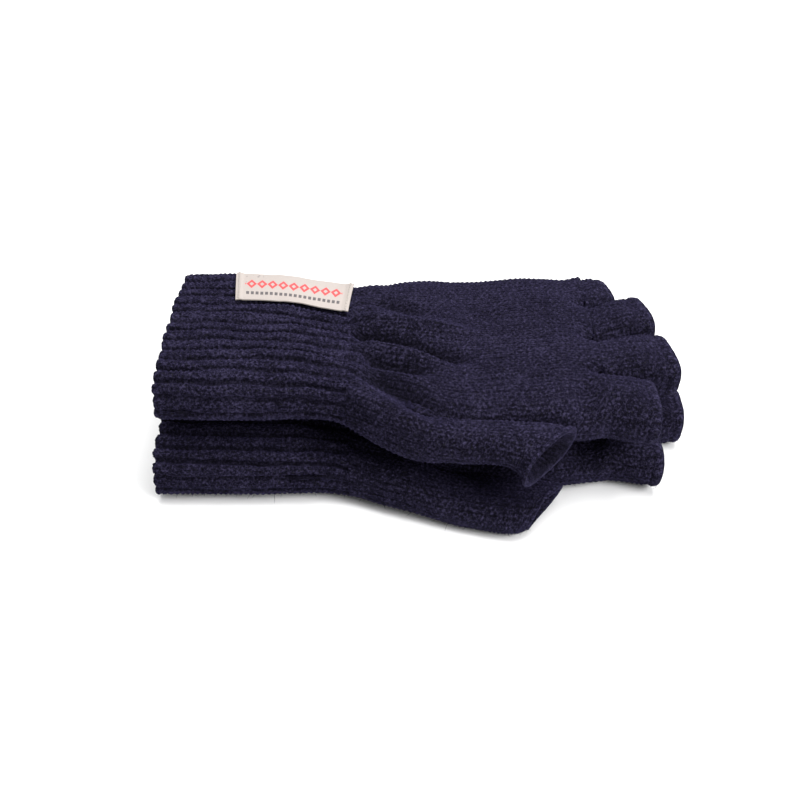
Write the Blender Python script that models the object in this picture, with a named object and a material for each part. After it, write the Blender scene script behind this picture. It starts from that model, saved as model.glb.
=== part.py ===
"""A stacked pair of knitted half-finger gloves, one lying on the other with thumbs and fingers aligned.

Each glove is a ribbed cuff, a hand with the base of the thumb, a thumb stall and four open finger stalls.
A woven label is stitched to the shoulder of the upper cuff. X runs from the cuffs to the fingertips,
Y from the thumbs to the little fingers, and Z up from the surface that the pair lies on.
"""

import math

import bmesh
import bpy
from mathutils import Matrix, Vector

MM = 0.001
WELD = 1e-6

# Driving dimensions, in millimetres.
WALL = 2.6  # thickness of the knitted fabric
GAP = 0.4  # clearance between neighbouring pieces
CUFF_LENGTH = 69.0
CUFF_MOUTH_WIDTH = 83.0
CUFF_MOUTH_THICKNESS = 27.0
WRIST_WIDTH = 80.0
WRIST_THICKNESS = 22.0
HAND_LENGTH = 94.0
HAND_WIDTH = 95.0
HAND_THICKNESS = 21.0
KNUCKLE_WIDTH = 93.0
KNUCKLE_THICKNESS = 18.0
STALL_TIP_THICKNESS = 16.6
STALL_LENGTHS = {"index": 18.0, "middle": 33.0, "ring": 25.0, "little": 15.0}
STALL_LEANS = {"index": -2.0, "middle": 2.0, "ring": 2.2, "little": 2.0}  # across the hand, from root to tip
THUMB_ROOT_FROM_WRIST = 39.0
THUMB_LENGTH = 39.0
THUMB_WIDTH = 20.0
THUMB_THICKNESS = 17.0
THUMB_LEAN = 2.0  # how far the thumb's middle leans away from the hand
GUSSET_RISE = 6.0  # from the wrist to where the thumb's base starts to swell
LOWER_HAND_EXTRA = 4.0  # the lower glove is knitted this much longer in the hand
WRIST_SAG = 2.0  # the upper glove's wrist and hand settle this far towards the lower glove
HAND_SAG = 3.0
LABEL_LENGTH = 45.0
LABEL_LAP = 15.0  # width of the label on the cuff's flat top
LABEL_WRAP_DEG = 40.0  # how far the label follows the round edge of the cuff
LABEL_THICKNESS = 0.8
LABEL_FROM_WRIST = 1.5
STITCH_WIDTH = 0.8
STITCH_THICKNESS = 0.5
STITCH_INSET = 2.6  # from each end of the label

# How finely the outlines are divided.
CAP_STEPS = 8
FLAT_STEPS = 4
LABEL_STEPS = 10
CUT_OVERRUN = 4.0  # how far a cavity runs past the faces that it opens

# Places that follow from the sizes above.
NEAR = -CUFF_MOUTH_WIDTH / 2  # the thumb side of the cuff
WRIST_FAR = NEAR + WRIST_WIDTH
HAND_NEAR = NEAR
HAND_FAR = HAND_NEAR + HAND_WIDTH
KNUCKLE_NEAR = HAND_NEAR
KNUCKLE_FAR = KNUCKLE_NEAR + KNUCKLE_WIDTH
THUMB_FAR = HAND_NEAR - 2 * GAP
THUMB_NEAR = THUMB_FAR - THUMB_WIDTH
UPPER_BASE = CUFF_MOUTH_THICKNESS + GAP
LOWER_LENGTH = CUFF_LENGTH + HAND_LENGTH + LOWER_HAND_EXTRA + max(STALL_LENGTHS.values())
ORIGIN_X = LOWER_LENGTH / 2
STALLS_FAR = KNUCKLE_FAR + STALL_LEANS["little"]
ORIGIN_Y = (THUMB_NEAR - THUMB_LEAN + max(HAND_FAR, STALLS_FAR, -NEAR)) / 2

LOWER = {
    "name": "lower",
    "base": 0.0,
    "wrist_base": 0.0,
    "hand_base": 0.0,
    "hand_length": HAND_LENGTH + LOWER_HAND_EXTRA,
    "bends_up": False,
}
UPPER = {
    "name": "upper",
    "base": UPPER_BASE,
    "wrist_base": UPPER_BASE - WRIST_SAG,
    "hand_base": UPPER_BASE - HAND_SAG,
    "hand_length": HAND_LENGTH,
    "bends_up": True,
}

WOOL = {"name": "navy_wool", "colour": (0.032, 0.030, 0.060, 1.0), "roughness": 0.95}
LABEL_CLOTH = {"name": "label_cloth", "colour": (0.78, 0.74, 0.68, 1.0), "roughness": 0.85}
THREAD = {"name": "label_thread", "colour": (0.70, 0.68, 0.64, 1.0), "roughness": 0.7}


def clear_scene():
    for thing in list(bpy.data.objects):
        bpy.data.objects.remove(thing)


def material(finish):
    made = bpy.data.materials.get(finish["name"])
    if made is None:
        made = bpy.data.materials.new(finish["name"])
        made.use_nodes = True
        shader = made.node_tree.nodes["Principled BSDF"]
        shader.inputs["Base Color"].default_value = finish["colour"]
        shader.inputs["Roughness"].default_value = finish["roughness"]
        shader.inputs["Metallic"].default_value = 0.0
    return made


def station(x, near, far, bottom, top):
    """One cross-section: its place along the glove and the sides of its outline."""
    return {"x": x, "near": near, "far": far, "bottom": bottom, "top": top}


def between(stations, x):
    """The cross-section at x, read from the straight lines between the stations."""
    for first, second in zip(stations, stations[1:]):
        if x <= second["x"] or second is stations[-1]:
            share = (x - first["x"]) / (second["x"] - first["x"])
            return {key: first[key] + share * (second[key] - first[key]) for key in first}
    return stations[0]


def outline(section, inset):
    """Points (y, z) round a flat-sided outline whose two edges are half round."""
    near = section["near"] + inset
    far = section["far"] - inset
    bottom = section["bottom"] + inset
    top = section["top"] - inset
    radius = (top - bottom) / 2
    middle = (top + bottom) / 2
    left = near + radius
    right = far - radius
    points = []
    for step in range(FLAT_STEPS):
        points.append((left + (right - left) * step / FLAT_STEPS, bottom))
    for step in range(CAP_STEPS):
        turn = -math.pi / 2 + math.pi * step / CAP_STEPS
        points.append((right + radius * math.cos(turn), middle + radius * math.sin(turn)))
    for step in range(FLAT_STEPS):
        points.append((right + (left - right) * step / FLAT_STEPS, top))
    for step in range(CAP_STEPS):
        turn = math.pi / 2 + math.pi * step / CAP_STEPS
        points.append((left + radius * math.cos(turn), middle + radius * math.sin(turn)))
    return points


def place(verts, slot, section, inset):
    """Moves a ring's vertices onto a cross-section's outline."""
    points = outline(section, inset)
    for vert in verts:
        y, z = points[vert[slot]]
        vert.co = ((section["x"] - ORIGIN_X) * MM, (y - ORIGIN_Y) * MM, z * MM)


def sweep(mesh, slot, sections):
    """Extrudes a ring through (station, inset) pairs."""
    count = 2 * (CAP_STEPS + FLAT_STEPS)
    ring = bmesh.ops.create_circle(mesh, cap_ends=False, segments=count, radius=1.0)["verts"]
    for index, vert in enumerate(ring):
        vert[slot] = index
    place(ring, slot, *sections[0])
    last = mesh.edges[:]
    for section, inset in sections[1:]:
        made = bmesh.ops.extrude_edge_only(mesh, edges=last)["geom"]
        last = [item for item in made if isinstance(item, bmesh.types.BMEdge)]
        place([item for item in made if isinstance(item, bmesh.types.BMVert)], slot, section, inset)


def add_object(name, mesh, finish):
    """Makes an object of a finished bmesh, with its faces pointing out."""
    bmesh.ops.recalc_face_normals(mesh, faces=mesh.faces[:])
    data = bpy.data.meshes.new(name)
    mesh.to_mesh(data)
    mesh.free()
    data.shade_smooth()
    data.set_sharp_from_angle(angle=math.radians(50))
    thing = bpy.data.objects.new(name, data)
    bpy.context.scene.collection.objects.link(thing)
    if finish is not None:
        data.materials.append(material(finish))
    return thing


def add_tube(name, stations):
    """A knitted tube open at both ends: out along its outside, back along its inside, and joined up."""
    mesh = bmesh.new()
    slot = mesh.verts.layers.int.new("slot")
    outside = [(section, 0.0) for section in stations]
    inside = [(section, WALL) for section in reversed(stations)]
    sweep(mesh, slot, [*outside, *inside, outside[0]])
    bmesh.ops.remove_doubles(mesh, verts=mesh.verts[:], dist=WELD)
    return add_object(name, mesh, WOOL)


def add_block(name, stations, inset):
    """A closed block through the stations, as the body or the cutter of a Boolean."""
    mesh = bmesh.new()
    slot = mesh.verts.layers.int.new("slot")
    sweep(mesh, slot, [(section, inset) for section in stations])
    bmesh.ops.holes_fill(mesh, edges=[edge for edge in mesh.edges if edge.is_boundary], sides=0)
    return add_object(name, mesh, WOOL if inset == 0.0 else None)


def combine(body, other, operation):
    """Adds a Boolean to body, with other as its hidden operand."""
    cut = body.modifiers.new(other.name, "BOOLEAN")
    cut.operation = operation
    cut.object = other
    cut.solver = "EXACT"
    other.hide_render = True
    other.display_type = "WIRE"


def wrist_station(glove):
    bottom = glove["wrist_base"]
    return station(CUFF_LENGTH, NEAR, WRIST_FAR, bottom, bottom + WRIST_THICKNESS)


def cuff_stations(glove):
    bottom = glove["base"]
    mouth = station(0.0, NEAR, NEAR + CUFF_MOUTH_WIDTH, bottom, bottom + CUFF_MOUTH_THICKNESS)
    whole = [mouth, wrist_station(glove)]
    return [mouth, between(whole, CUFF_LENGTH / 2), between(whole, CUFF_LENGTH - GAP)]


def hand_stations(glove):
    """The hand without its thumb, from the wrist to the roots of the fingers."""
    length = glove["hand_length"]
    bottom = glove["hand_base"]
    heel = CUFF_LENGTH + 0.25 * length
    palm = CUFF_LENGTH + 0.60 * length
    return [
        wrist_station(glove),
        station(heel, HAND_NEAR, HAND_FAR - 2.0, bottom, bottom + HAND_THICKNESS),
        station(palm, HAND_NEAR, HAND_FAR, bottom, bottom + HAND_THICKNESS),
        station(CUFF_LENGTH + length, KNUCKLE_NEAR, KNUCKLE_FAR, bottom, bottom + KNUCKLE_THICKNESS),
    ]


def thumb_heights(glove):
    """The thumb lies low on the hand's edge."""
    bottom = glove["hand_base"] + (HAND_THICKNESS - THUMB_THICKNESS) / 4
    return bottom, bottom + THUMB_THICKNESS


def gusset_stations(glove):
    """The base of the thumb, which swells out of the hand's edge and ends at the thumb's root."""
    bottom, top = thumb_heights(glove)
    start = CUFF_LENGTH + GUSSET_RISE
    root = CUFF_LENGTH + THUMB_ROOT_FROM_WRIST
    inside = HAND_NEAR + 4 * WALL
    swell = (THUMB_NEAR + HAND_NEAR) / 2
    return [
        station(start, inside, inside + THUMB_WIDTH, bottom, top),
        station((start + root) / 2, swell, swell + THUMB_WIDTH, bottom, top),
        station(root, THUMB_NEAR, THUMB_FAR, bottom, top),
    ]


def thumb_stations(glove):
    bottom, top = thumb_heights(glove)
    root = CUFF_LENGTH + THUMB_ROOT_FROM_WRIST + GAP
    end = root + THUMB_LENGTH
    return [
        station(root, THUMB_NEAR, THUMB_FAR, bottom, top),
        station((root + end) / 2, THUMB_NEAR - THUMB_LEAN, THUMB_FAR - THUMB_LEAN, bottom, top),
        station(end, THUMB_NEAR - THUMB_LEAN / 2, THUMB_FAR - THUMB_LEAN, bottom, top - 1.0),
    ]


def stall_stations(glove, index, finger):
    """A finger stall: one of four equal shares of the knuckle line, counted from the thumb side."""
    share = (KNUCKLE_WIDTH - 3 * GAP) / 4
    near = KNUCKLE_NEAR + index * (share + GAP)
    lean = STALL_LEANS[finger]
    root = CUFF_LENGTH + glove["hand_length"] + GAP
    end = root + STALL_LENGTHS[finger] - GAP
    bottom = glove["hand_base"]
    return [
        station(root, near, near + share, bottom, bottom + KNUCKLE_THICKNESS),
        station(end, near + lean, near + share + lean, bottom, bottom + STALL_TIP_THICKNESS),
    ]


def run_on(stations, before, after):
    """The same outline, run on past its first and last stations."""
    first = dict(stations[0], x=stations[0]["x"] - before)
    last = dict(stations[-1], x=stations[-1]["x"] + after)
    return [first, *stations, last]


def add_hand(glove):
    """The hand and the thumb's base as one hollow knit, open at the wrist, the thumb and the fingers."""
    prefix = glove["name"]
    stations = hand_stations(glove)
    gusset = gusset_stations(glove)
    hand = add_block(prefix + "_hand", stations, 0.0)
    combine(hand, add_block(prefix + "_gusset_body", gusset, 0.0), "UNION")
    cavity = add_block(prefix + "_hand_cavity", run_on(stations, CUT_OVERRUN, CUT_OVERRUN), WALL)
    combine(hand, cavity, "DIFFERENCE")
    gusset_cavity = add_block(prefix + "_gusset_cavity", run_on(gusset, 0.0, CUT_OVERRUN), WALL)
    combine(hand, gusset_cavity, "DIFFERENCE")


def set_pivot(thing, x, y, z):
    """Puts the object's origin on the line that it turns about."""
    pivot = Vector(((x - ORIGIN_X) * MM, (y - ORIGIN_Y) * MM, z * MM))
    thing.data.transform(Matrix.Translation(-pivot))
    thing.location = pivot


def bending_edge(glove, section):
    """The stretch of knit that a stall or a cuff bends about: its top on the upper glove, else its bottom."""
    return section["top"] if glove["bends_up"] else section["bottom"]


def cuff_pivot(glove):
    return CUFF_LENGTH - GAP / 2, (NEAR + WRIST_FAR) / 2, bending_edge(glove, wrist_station(glove))


def add_cuff(glove):
    set_pivot(add_tube(glove["name"] + "_cuff", cuff_stations(glove)), *cuff_pivot(glove))


def add_thumb(glove):
    stations = thumb_stations(glove)
    root = stations[0]
    thumb = add_tube(glove["name"] + "_thumb", stations)
    set_pivot(thumb, root["x"] - GAP / 2, root["near"], (root["bottom"] + root["top"]) / 2)


def add_stalls(glove):
    for index, finger in enumerate(STALL_LENGTHS):
        stations = stall_stations(glove, index, finger)
        root = stations[0]
        stall = add_tube(f"{glove['name']}_{finger}_finger", stations)
        set_pivot(stall, root["x"] - GAP / 2, (root["near"] + root["far"]) / 2, bending_edge(glove, root))


def add_glove(glove):
    add_cuff(glove)
    add_hand(glove)
    add_thumb(glove)
    add_stalls(glove)


def shoulder(section, travel, height):
    """The point (y, z) that far along the top and round the far edge, lifted off the cuff by height."""
    radius = (section["top"] - section["bottom"]) / 2
    middle = (section["top"] + section["bottom"]) / 2
    corner = section["far"] - radius
    if travel <= 0.0:
        return corner + travel, section["top"] + height
    turn = travel / radius
    return corner + (radius + height) * math.sin(turn), middle + (radius + height) * math.cos(turn)


def add_strip(name, start, end, height, thickness, finish):
    """A strip across the label's width, from start to end along the cuff, lying height above the knit."""
    cuff = cuff_stations(UPPER)
    mesh = bmesh.new()
    across = LABEL_STEPS
    along = 2
    made = bmesh.ops.create_grid(mesh, x_segments=along, y_segments=across, size=1.0)["verts"]
    for vert in made:
        x = start + (end - start) * (vert.co.x + 1) / 2
        section = between(cuff, x)
        radius = (section["top"] - section["bottom"]) / 2
        wrap = math.radians(LABEL_WRAP_DEG) * radius
        travel = -LABEL_LAP + (LABEL_LAP + wrap) * (vert.co.y + 1) / 2
        y, z = shoulder(section, travel, height)
        vert.co = ((x - ORIGIN_X) * MM, (y - ORIGIN_Y) * MM, z * MM)
    strip = add_object(name, mesh, finish)
    solid = strip.modifiers.new("thickness", "SOLIDIFY")
    solid.thickness = thickness * MM
    solid.offset = 1.0
    set_pivot(strip, *cuff_pivot(UPPER))


def add_label():
    end = CUFF_LENGTH - LABEL_FROM_WRIST
    start = end - LABEL_LENGTH
    add_strip("woven_label", start, end, GAP, LABEL_THICKNESS, LABEL_CLOTH)
    height = 2 * GAP + LABEL_THICKNESS
    first = start + STITCH_INSET
    second = end - STITCH_INSET - STITCH_WIDTH
    add_strip("label_stitch_mouth_end", first, first + STITCH_WIDTH, height, STITCH_THICKNESS, THREAD)
    add_strip("label_stitch_wrist_end", second, second + STITCH_WIDTH, height, STITCH_THICKNESS, THREAD)


clear_scene()
add_glove(LOWER)
add_glove(UPPER)
add_label()
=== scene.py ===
"""A stacked pair of knitted half-finger gloves, as soft goods on a pale studio floor.

Each glove is knitted in sections, as its maker knits it: a ribbed cuff, a plain hand with the base of the
thumb, a thumb stall and four open finger stalls. A woven label is sewn over the far edge of the upper cuff.
Sizes are in millimetres and are turned into metres where a mesh is made.
"""

import logging
import math
from collections.abc import Callable
from dataclasses import dataclass, field
from enum import Enum, IntEnum

import bmesh
import bpy
import numpy as np
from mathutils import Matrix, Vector


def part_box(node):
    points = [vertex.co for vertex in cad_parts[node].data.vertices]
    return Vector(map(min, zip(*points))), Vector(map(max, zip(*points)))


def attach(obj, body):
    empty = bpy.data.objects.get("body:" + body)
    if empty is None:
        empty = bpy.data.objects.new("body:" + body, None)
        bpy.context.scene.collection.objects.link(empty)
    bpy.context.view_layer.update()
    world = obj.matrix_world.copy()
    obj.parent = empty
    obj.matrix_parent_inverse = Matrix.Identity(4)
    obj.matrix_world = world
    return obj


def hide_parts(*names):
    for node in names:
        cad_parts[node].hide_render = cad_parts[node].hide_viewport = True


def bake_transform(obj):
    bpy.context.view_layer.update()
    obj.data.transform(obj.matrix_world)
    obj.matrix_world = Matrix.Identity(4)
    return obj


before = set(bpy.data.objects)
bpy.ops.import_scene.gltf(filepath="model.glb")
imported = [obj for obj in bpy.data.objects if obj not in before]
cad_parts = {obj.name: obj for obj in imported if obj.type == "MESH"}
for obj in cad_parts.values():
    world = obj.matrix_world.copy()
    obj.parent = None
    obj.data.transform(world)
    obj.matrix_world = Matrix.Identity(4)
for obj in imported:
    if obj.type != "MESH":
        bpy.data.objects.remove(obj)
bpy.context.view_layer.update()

MM = 0.001
WELD = 2e-7
# Relief for the inside and cut faces and for the rolled rim: a low relief takes mostly the painted groove
# shade, so the inside faces are painted dark as shade.
INSIDE_RELIEF = 0.2
RIM_RELIEF = 0.5
RIM_TURNS = np.radians(np.arange(25.0, 180.0, 26.0))
RIM_REACH = 8
LOG = logging.getLogger("gloves")

Array = np.ndarray
Colour = tuple[float, float, float]
Socket = bpy.types.NodeSocket


class Layer(Enum):
    """Which of the two gloves, by where it lies."""

    LOWER = "lower"
    UPPER = "upper"


class Surface(Enum):
    """What a face of a knitted shell is."""

    KNIT = 0
    CUT = 1


class Pattern(IntEnum):
    """The kinds of unevenness, each with its own number past the glove's seed."""

    SAG = 0
    RIPPLE = 1
    SHAKE = 2
    THICKNESS = 3
    RIB_WANDER = 4
    RIB_JITTER = 5
    PUCKER = 6
    SHRINK = 7
    MOUND = 8
    RAGGED_EDGE = 9
    WALE_DRIFT = 11
    GATHER_DRIFT = 12


# --------------------------------------------------------------------------------------------------
# Numbers along and across the cloth
# --------------------------------------------------------------------------------------------------


def smoothstep(low: float, high: float, at: Array) -> Array:
    """Rises from 0 at low to 1 at high with level ends."""
    share = np.clip((np.asarray(at, float) - low) / (high - low), 0.0, 1.0)
    return share * share * (3.0 - 2.0 * share)


def bell(distance: Array, width: float) -> Array:
    """A smooth hump, 1 at no distance and nearly 0 at two widths."""
    return np.exp(-((np.asarray(distance, float) / width) ** 2))


def sweep(count: int) -> Array:
    """Shares of the way across, from 0 to 1, closer together toward both sides."""
    return (1.0 - np.cos(np.linspace(0.0, np.pi, count))) / 2


def unit(vectors: Array) -> Array:
    """The same directions, each with a length of 1."""
    return vectors / np.maximum(np.linalg.norm(vectors, axis=-1, keepdims=True), 1e-9)


def soft_noise(across: Array, along: Array, seed: int) -> Array:
    """Smooth unevenness of two coordinates, from -1 to 1, the same at every run.

    Args:
        across: One coordinate, in bumps.
        along: The other coordinate, in bumps.
        seed: Picks one of many uneven patterns.

    Returns:
        A value for each pair of coordinates.
    """
    table = np.random.default_rng(seed).uniform(-1.0, 1.0, (61, 67))
    across, along = np.broadcast_arrays(np.asarray(across, float), np.asarray(along, float))
    column, row = np.floor(across).astype(int), np.floor(along).astype(int)
    a, b = across - column, along - row
    a, b = a * a * (3 - 2 * a), b * b * (3 - 2 * b)

    def corner(right: int, up: int) -> Array:
        """The table's value at one corner of each cell."""
        return table[(column + right) % 61, (row + up) % 67]

    low = corner(0, 0) * (1 - a) + corner(1, 0) * a
    high = corner(0, 1) * (1 - a) + corner(1, 1) * a
    return low * (1 - b) + high * b


@dataclass(frozen=True)
class Course:
    """A size that changes smoothly along the glove.

    Attributes:
        places: Where along X the size is known, in millimetres.
        sizes: The size at each place.
    """

    places: tuple[float, ...]
    sizes: tuple[float, ...]

    def at(self, x: Array) -> Array:
        """The size at a place, level beyond the first place and the last.

        Args:
            x: One place or more along the glove.

        Returns:
            The size at each of them.
        """
        places, sizes = np.array(self.places), np.array(self.sizes)
        slopes = np.gradient(sizes, places)
        x = np.clip(np.asarray(x, float), places[0], places[-1])
        i = np.clip(np.searchsorted(places, x) - 1, 0, len(places) - 2)
        step = places[i + 1] - places[i]
        t = (x - places[i]) / step
        t2, t3 = t * t, t * t * t
        return (
            (2 * t3 - 3 * t2 + 1) * sizes[i]
            + (t3 - 2 * t2 + t) * step * slopes[i]
            + (3 * t2 - 2 * t3) * sizes[i + 1]
            + (t3 - t2) * step * slopes[i + 1]
        )


def puff(share: Array, near_power: float, far_power: float | None = None) -> Array:
    """How high a stuffed outline stands across it, from 0 at its edges to 1.

    Args:
        share: The share of the way across, from the near edge.
        near_power: How boxy the near half is.
        far_power: How boxy the far half is, the same as the near half if not given.

    Returns:
        The height at each share.
    """
    side = 2.0 * np.asarray(share, float) - 1.0
    power = np.where(side < 0.0, near_power, near_power if far_power is None else far_power)
    return np.clip(1.0 - np.abs(side) ** power, 0.0, 1.0) ** (1.0 / power)


def spread_evenly(y: Array, z: Array, count: int) -> Array:
    """Points at even distances along a line, as wales lie across a panel.

    Args:
        y: The line's points across the glove.
        z: The line's points in height.
        count: How many steps to divide it into.

    Returns:
        count + 1 rows of (y, z).
    """
    length = np.concatenate([[0.0], np.cumsum(np.hypot(np.diff(y), np.diff(z)))])
    even = np.linspace(0.0, length[-1], count + 1)
    return np.column_stack([np.interp(even, length, y), np.interp(even, length, z)])


def row_at(x: float, loop: Array) -> Array:
    """Stands a loop of (y, z) up at its place along the glove, as (x, y, z)."""
    return np.column_stack([np.full(len(loop), x), loop])


def oval(y: Array, middle: float, rise: Array, steps: int) -> Array:
    """A flattened tube's outline: over the top from near to far, and back below.

    Args:
        y: Points across it.
        middle: The height that it lies at.
        rise: How far it stands above and below that at each point.
        steps: Steps of mesh across each of its two faces.

    Returns:
        Points (y, z).
    """
    over = spread_evenly(y, middle + rise, steps)
    under = spread_evenly(y, middle - rise, steps)[::-1]
    return np.concatenate([over, under])


@dataclass(frozen=True)
class Fold:
    """A ridge or a valley pressed into the cloth along a line.

    Attributes:
        start: Where it starts, as (x, y).
        end: Where it ends.
        width: Half its width.
        height: How far it stands up, or down if negative.
        start_fade: How sharply it begins, in millimetres.
        end_fade: How gently it runs out.
    """

    start: tuple[float, float]
    end: tuple[float, float]
    width: float
    height: float
    start_fade: float = 6.0
    end_fade: float = 12.0

    def lift(self, x: Array, y: Array) -> Array:
        """How far it moves the cloth at each point.

        Args:
            x: The points' places along the glove.
            y: Their places across it.

        Returns:
            The height to add at each point.
        """
        start, end = np.array(self.start), np.array(self.end)
        run = end - start
        length = float(np.hypot(*run))
        along = ((x - start[0]) * run[0] + (y - start[1]) * run[1]) / length
        aside = ((x - start[0]) * run[1] - (y - start[1]) * run[0]) / length
        ends = smoothstep(-self.start_fade, self.start_fade, along) * (
            1.0 - smoothstep(length - self.end_fade, length + self.end_fade, along)
        )
        return self.height * ends * bell(aside, self.width)


# --------------------------------------------------------------------------------------------------
# Knitting
# --------------------------------------------------------------------------------------------------


@dataclass(frozen=True)
class Gauge:
    """How fine the knitting is, and how finely it is modelled.

    Attributes:
        course: Height of a stitch, in millimetres.
        rows_per_course: Rows of mesh to a stitch's height.
        columns_per_wale: Columns of mesh to a stitch's width.
        depth: How deep the grooves between stitches are, in millimetres.
    """

    course: float = 2.0
    rows_per_course: int = 4
    columns_per_wale: int = 6
    depth: float = 0.8

    @property
    def row(self) -> float:
        """Distance between rows of mesh."""
        return self.course / self.rows_per_course


def plain_stitches(wales: Array, courses: Array) -> Array:
    """The face of plain knitting: columns of V-shaped stitches.

    Args:
        wales: Places across the knitting, in stitches.
        courses: Places along it, in stitches.

    Returns:
        The height at each place, from 0 in the grooves to 1 on the yarn.
    """
    across = wales % 1.0
    legs = np.maximum(np.abs(np.sin(2.0 * np.pi * across)) ** 0.7, 0.7 * bell(across - 0.5, 0.16))
    rise = courses - 0.85 * np.abs(2.0 * across - 1.0)
    loops = (0.5 + 0.5 * np.cos(2.0 * np.pi * rise)) ** 0.8
    return legs * (0.40 + 0.60 * loops)


@dataclass
class Cloth:
    """A stretch of knitting as a grid of points: rows run round the tube, and columns along the glove.

    Attributes:
        points: Rows by columns by (x, y, z).
        wales: Each point's place across the knitting, in stitches.
        courses: Each point's place along it, in stitches.
        relief: How high on the yarn each point is, from 0 to 1, lowered by the painted fold shade; the lower
            it is, the more painted groove shade the knit's colour takes.
        shade: How open to the light each point is, less than 1 in a valley; it is painted into the relief as
            shade.
    """

    points: Array
    wales: Array
    courses: Array
    relief: Array = field(default_factory=lambda: np.zeros(0))
    shade: Array | float = 1.0

    def normals(self) -> Array:
        """Directions out of the cloth.

        Returns:
            One for each point.
        """
        along = np.gradient(self.points, axis=0)
        around = np.roll(self.points, -1, axis=1) - np.roll(self.points, 1, axis=1)
        return unit(np.cross(along, around))

    def push(self, distance: Array) -> None:
        """Moves each point out of the cloth by its distance."""
        self.points = self.points + self.normals() * distance[..., None]


def evened(row: Array, reach: int) -> Array:
    """The directions of a row that runs round a tube, each averaged with its neighbours."""
    return sum(np.roll(row, step, axis=0) for step in range(-reach, reach + 1))


def tube_mesh(name: str, cloth: Cloth, wall: float, rim_first: bool) -> bpy.types.Mesh:
    """Closes a tube of cloth into a shell with a rolled cast-off edge at one end and a cut at the other.

    Args:
        name: The mesh's name.
        cloth: The outside, with its relief already pushed out.
        wall: The cloth's thickness, in millimetres.
        rim_first: Whether the cast-off edge is at the first row, and not at the last.

    Returns:
        The mesh, in metres.
    """
    outer, out = cloth.points, cloth.normals()
    edge = 0 if rim_first else -1
    behind = RIM_REACH if rim_first else -1 - RIM_REACH
    onward = unit(evened(outer[edge] - outer[behind], 9))
    upright = unit(evened(out[edge], 5))
    radius = wall / 2
    rim = np.array(
        [
            outer[edge] - upright * radius * (1 - math.cos(turn)) + onward * radius * math.sin(turn)
            for turn in RIM_TURNS
        ]
    )
    inside_rows = np.unique(np.linspace(0, len(outer) - 1, max(4, len(outer) // 9)).astype(int))
    inner = outer[inside_rows] - out[inside_rows] * wall
    rim_relief, inner_relief = np.full(rim.shape[:2], RIM_RELIEF), np.full(inner.shape[:2], INSIDE_RELIEF)
    if rim_first:
        points = np.concatenate([rim[::-1], outer, inner[::-1]])
        relief = np.concatenate([rim_relief, cloth.relief, inner_relief])
        cut_row = len(rim) + len(outer) - 1
    else:
        points = np.concatenate([outer, rim, inner[::-1]])
        relief = np.concatenate([cloth.relief, rim_relief, inner_relief])
        cut_row = len(points) - 1
    points = np.concatenate([points, points[:1]])
    relief = np.concatenate([relief, relief[:1]])
    return knit_mesh(name, [(wrap(points), wrap(relief))], cut_row)


def wrap(rows: Array) -> Array:
    """The same rows with their first column repeated at the end, so that they close round a tube."""
    return np.concatenate([rows, rows[:, :1]], axis=1)


def knit_mesh(name: str, sheets: list[tuple[Array, Array]], cut_row: int = -1) -> bpy.types.Mesh:
    """Lays grids onto rows of points, welds them where they meet and caps what is left open.

    Args:
        name: The mesh's name.
        sheets: Pairs of points and relief, rows by columns.
        cut_row: The row of faces that is a cut edge and not knit.

    Returns:
        The mesh, in metres, facing outwards.
    """
    work = bmesh.new()
    relief_layer = work.verts.layers.float.new("relief")
    kind_layer = work.faces.layers.int.new("surface")
    for points, relief in sheets:
        rows, columns = relief.shape
        made = bmesh.ops.create_grid(work, x_segments=columns - 1, y_segments=rows - 1, size=1.0)["verts"]
        places, heights = (points * MM).reshape(-1, 3), relief.reshape(-1)
        for vert, place, height in zip(made, places, heights):
            vert.co = place
            vert[relief_layer] = height
        if cut_row >= 0:
            lowest = made[cut_row * columns : (cut_row + 1) * columns]
            highest = set(made[(cut_row + 1) * columns : (cut_row + 2) * columns])
            for vert in lowest:
                for face in vert.link_faces:
                    if highest.intersection(face.verts):
                        face[kind_layer] = Surface.CUT.value
    bmesh.ops.remove_doubles(work, verts=work.verts[:], dist=WELD)
    open_edges = [edge for edge in work.edges if edge.is_boundary]
    if open_edges:
        for face in bmesh.ops.holes_fill(work, edges=open_edges, sides=0)["faces"]:
            face[kind_layer] = Surface.CUT.value
    bmesh.ops.recalc_face_normals(work, faces=work.faces[:])
    mesh = bpy.data.meshes.new(name)
    work.to_mesh(mesh)
    work.free()
    return mesh


def crisp_cuts(mesh: bpy.types.Mesh) -> None:
    """Shades the knit smooth, with a crisp edge wherever it meets a cut.

    Args:
        mesh: The knit's mesh.
    """
    work = bmesh.new()
    work.from_mesh(mesh)
    kind_layer = work.faces.layers.int["surface"]
    for edge in work.edges:
        kinds = {face[kind_layer] for face in edge.link_faces}
        edge.smooth = len(kinds) == 1
    for face in work.faces:
        face.smooth = True
    work.to_mesh(mesh)
    work.free()


def new_piece(name: str, mesh: bpy.types.Mesh) -> bpy.types.Object:
    """Puts a mesh into the scene as an object at the origin.

    Args:
        name: The object's name.
        mesh: Its mesh, with its place in it.

    Returns:
        The object.
    """
    piece = bpy.data.objects.new(name, mesh)
    bpy.context.scene.collection.objects.link(piece)
    return piece


def carve(piece: bpy.types.Object, core: bpy.types.Object) -> None:
    """Hollows out a piece with a core, which is then thrown away.

    Args:
        piece: The piece.
        core: The core.
    """
    hollow = piece.modifiers.new("hollow", "BOOLEAN")
    hollow.operation = "DIFFERENCE"
    hollow.solver = "MANIFOLD"
    hollow.object = core
    bpy.context.view_layer.update()
    graph = bpy.context.evaluated_depsgraph_get()
    carved = bpy.data.meshes.new_from_object(piece.evaluated_get(graph))
    piece.modifiers.clear()
    old = piece.data
    piece.data = carved
    bpy.data.meshes.remove(old)
    bpy.data.objects.remove(core)


# --------------------------------------------------------------------------------------------------
# Finishes
# --------------------------------------------------------------------------------------------------


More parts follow.
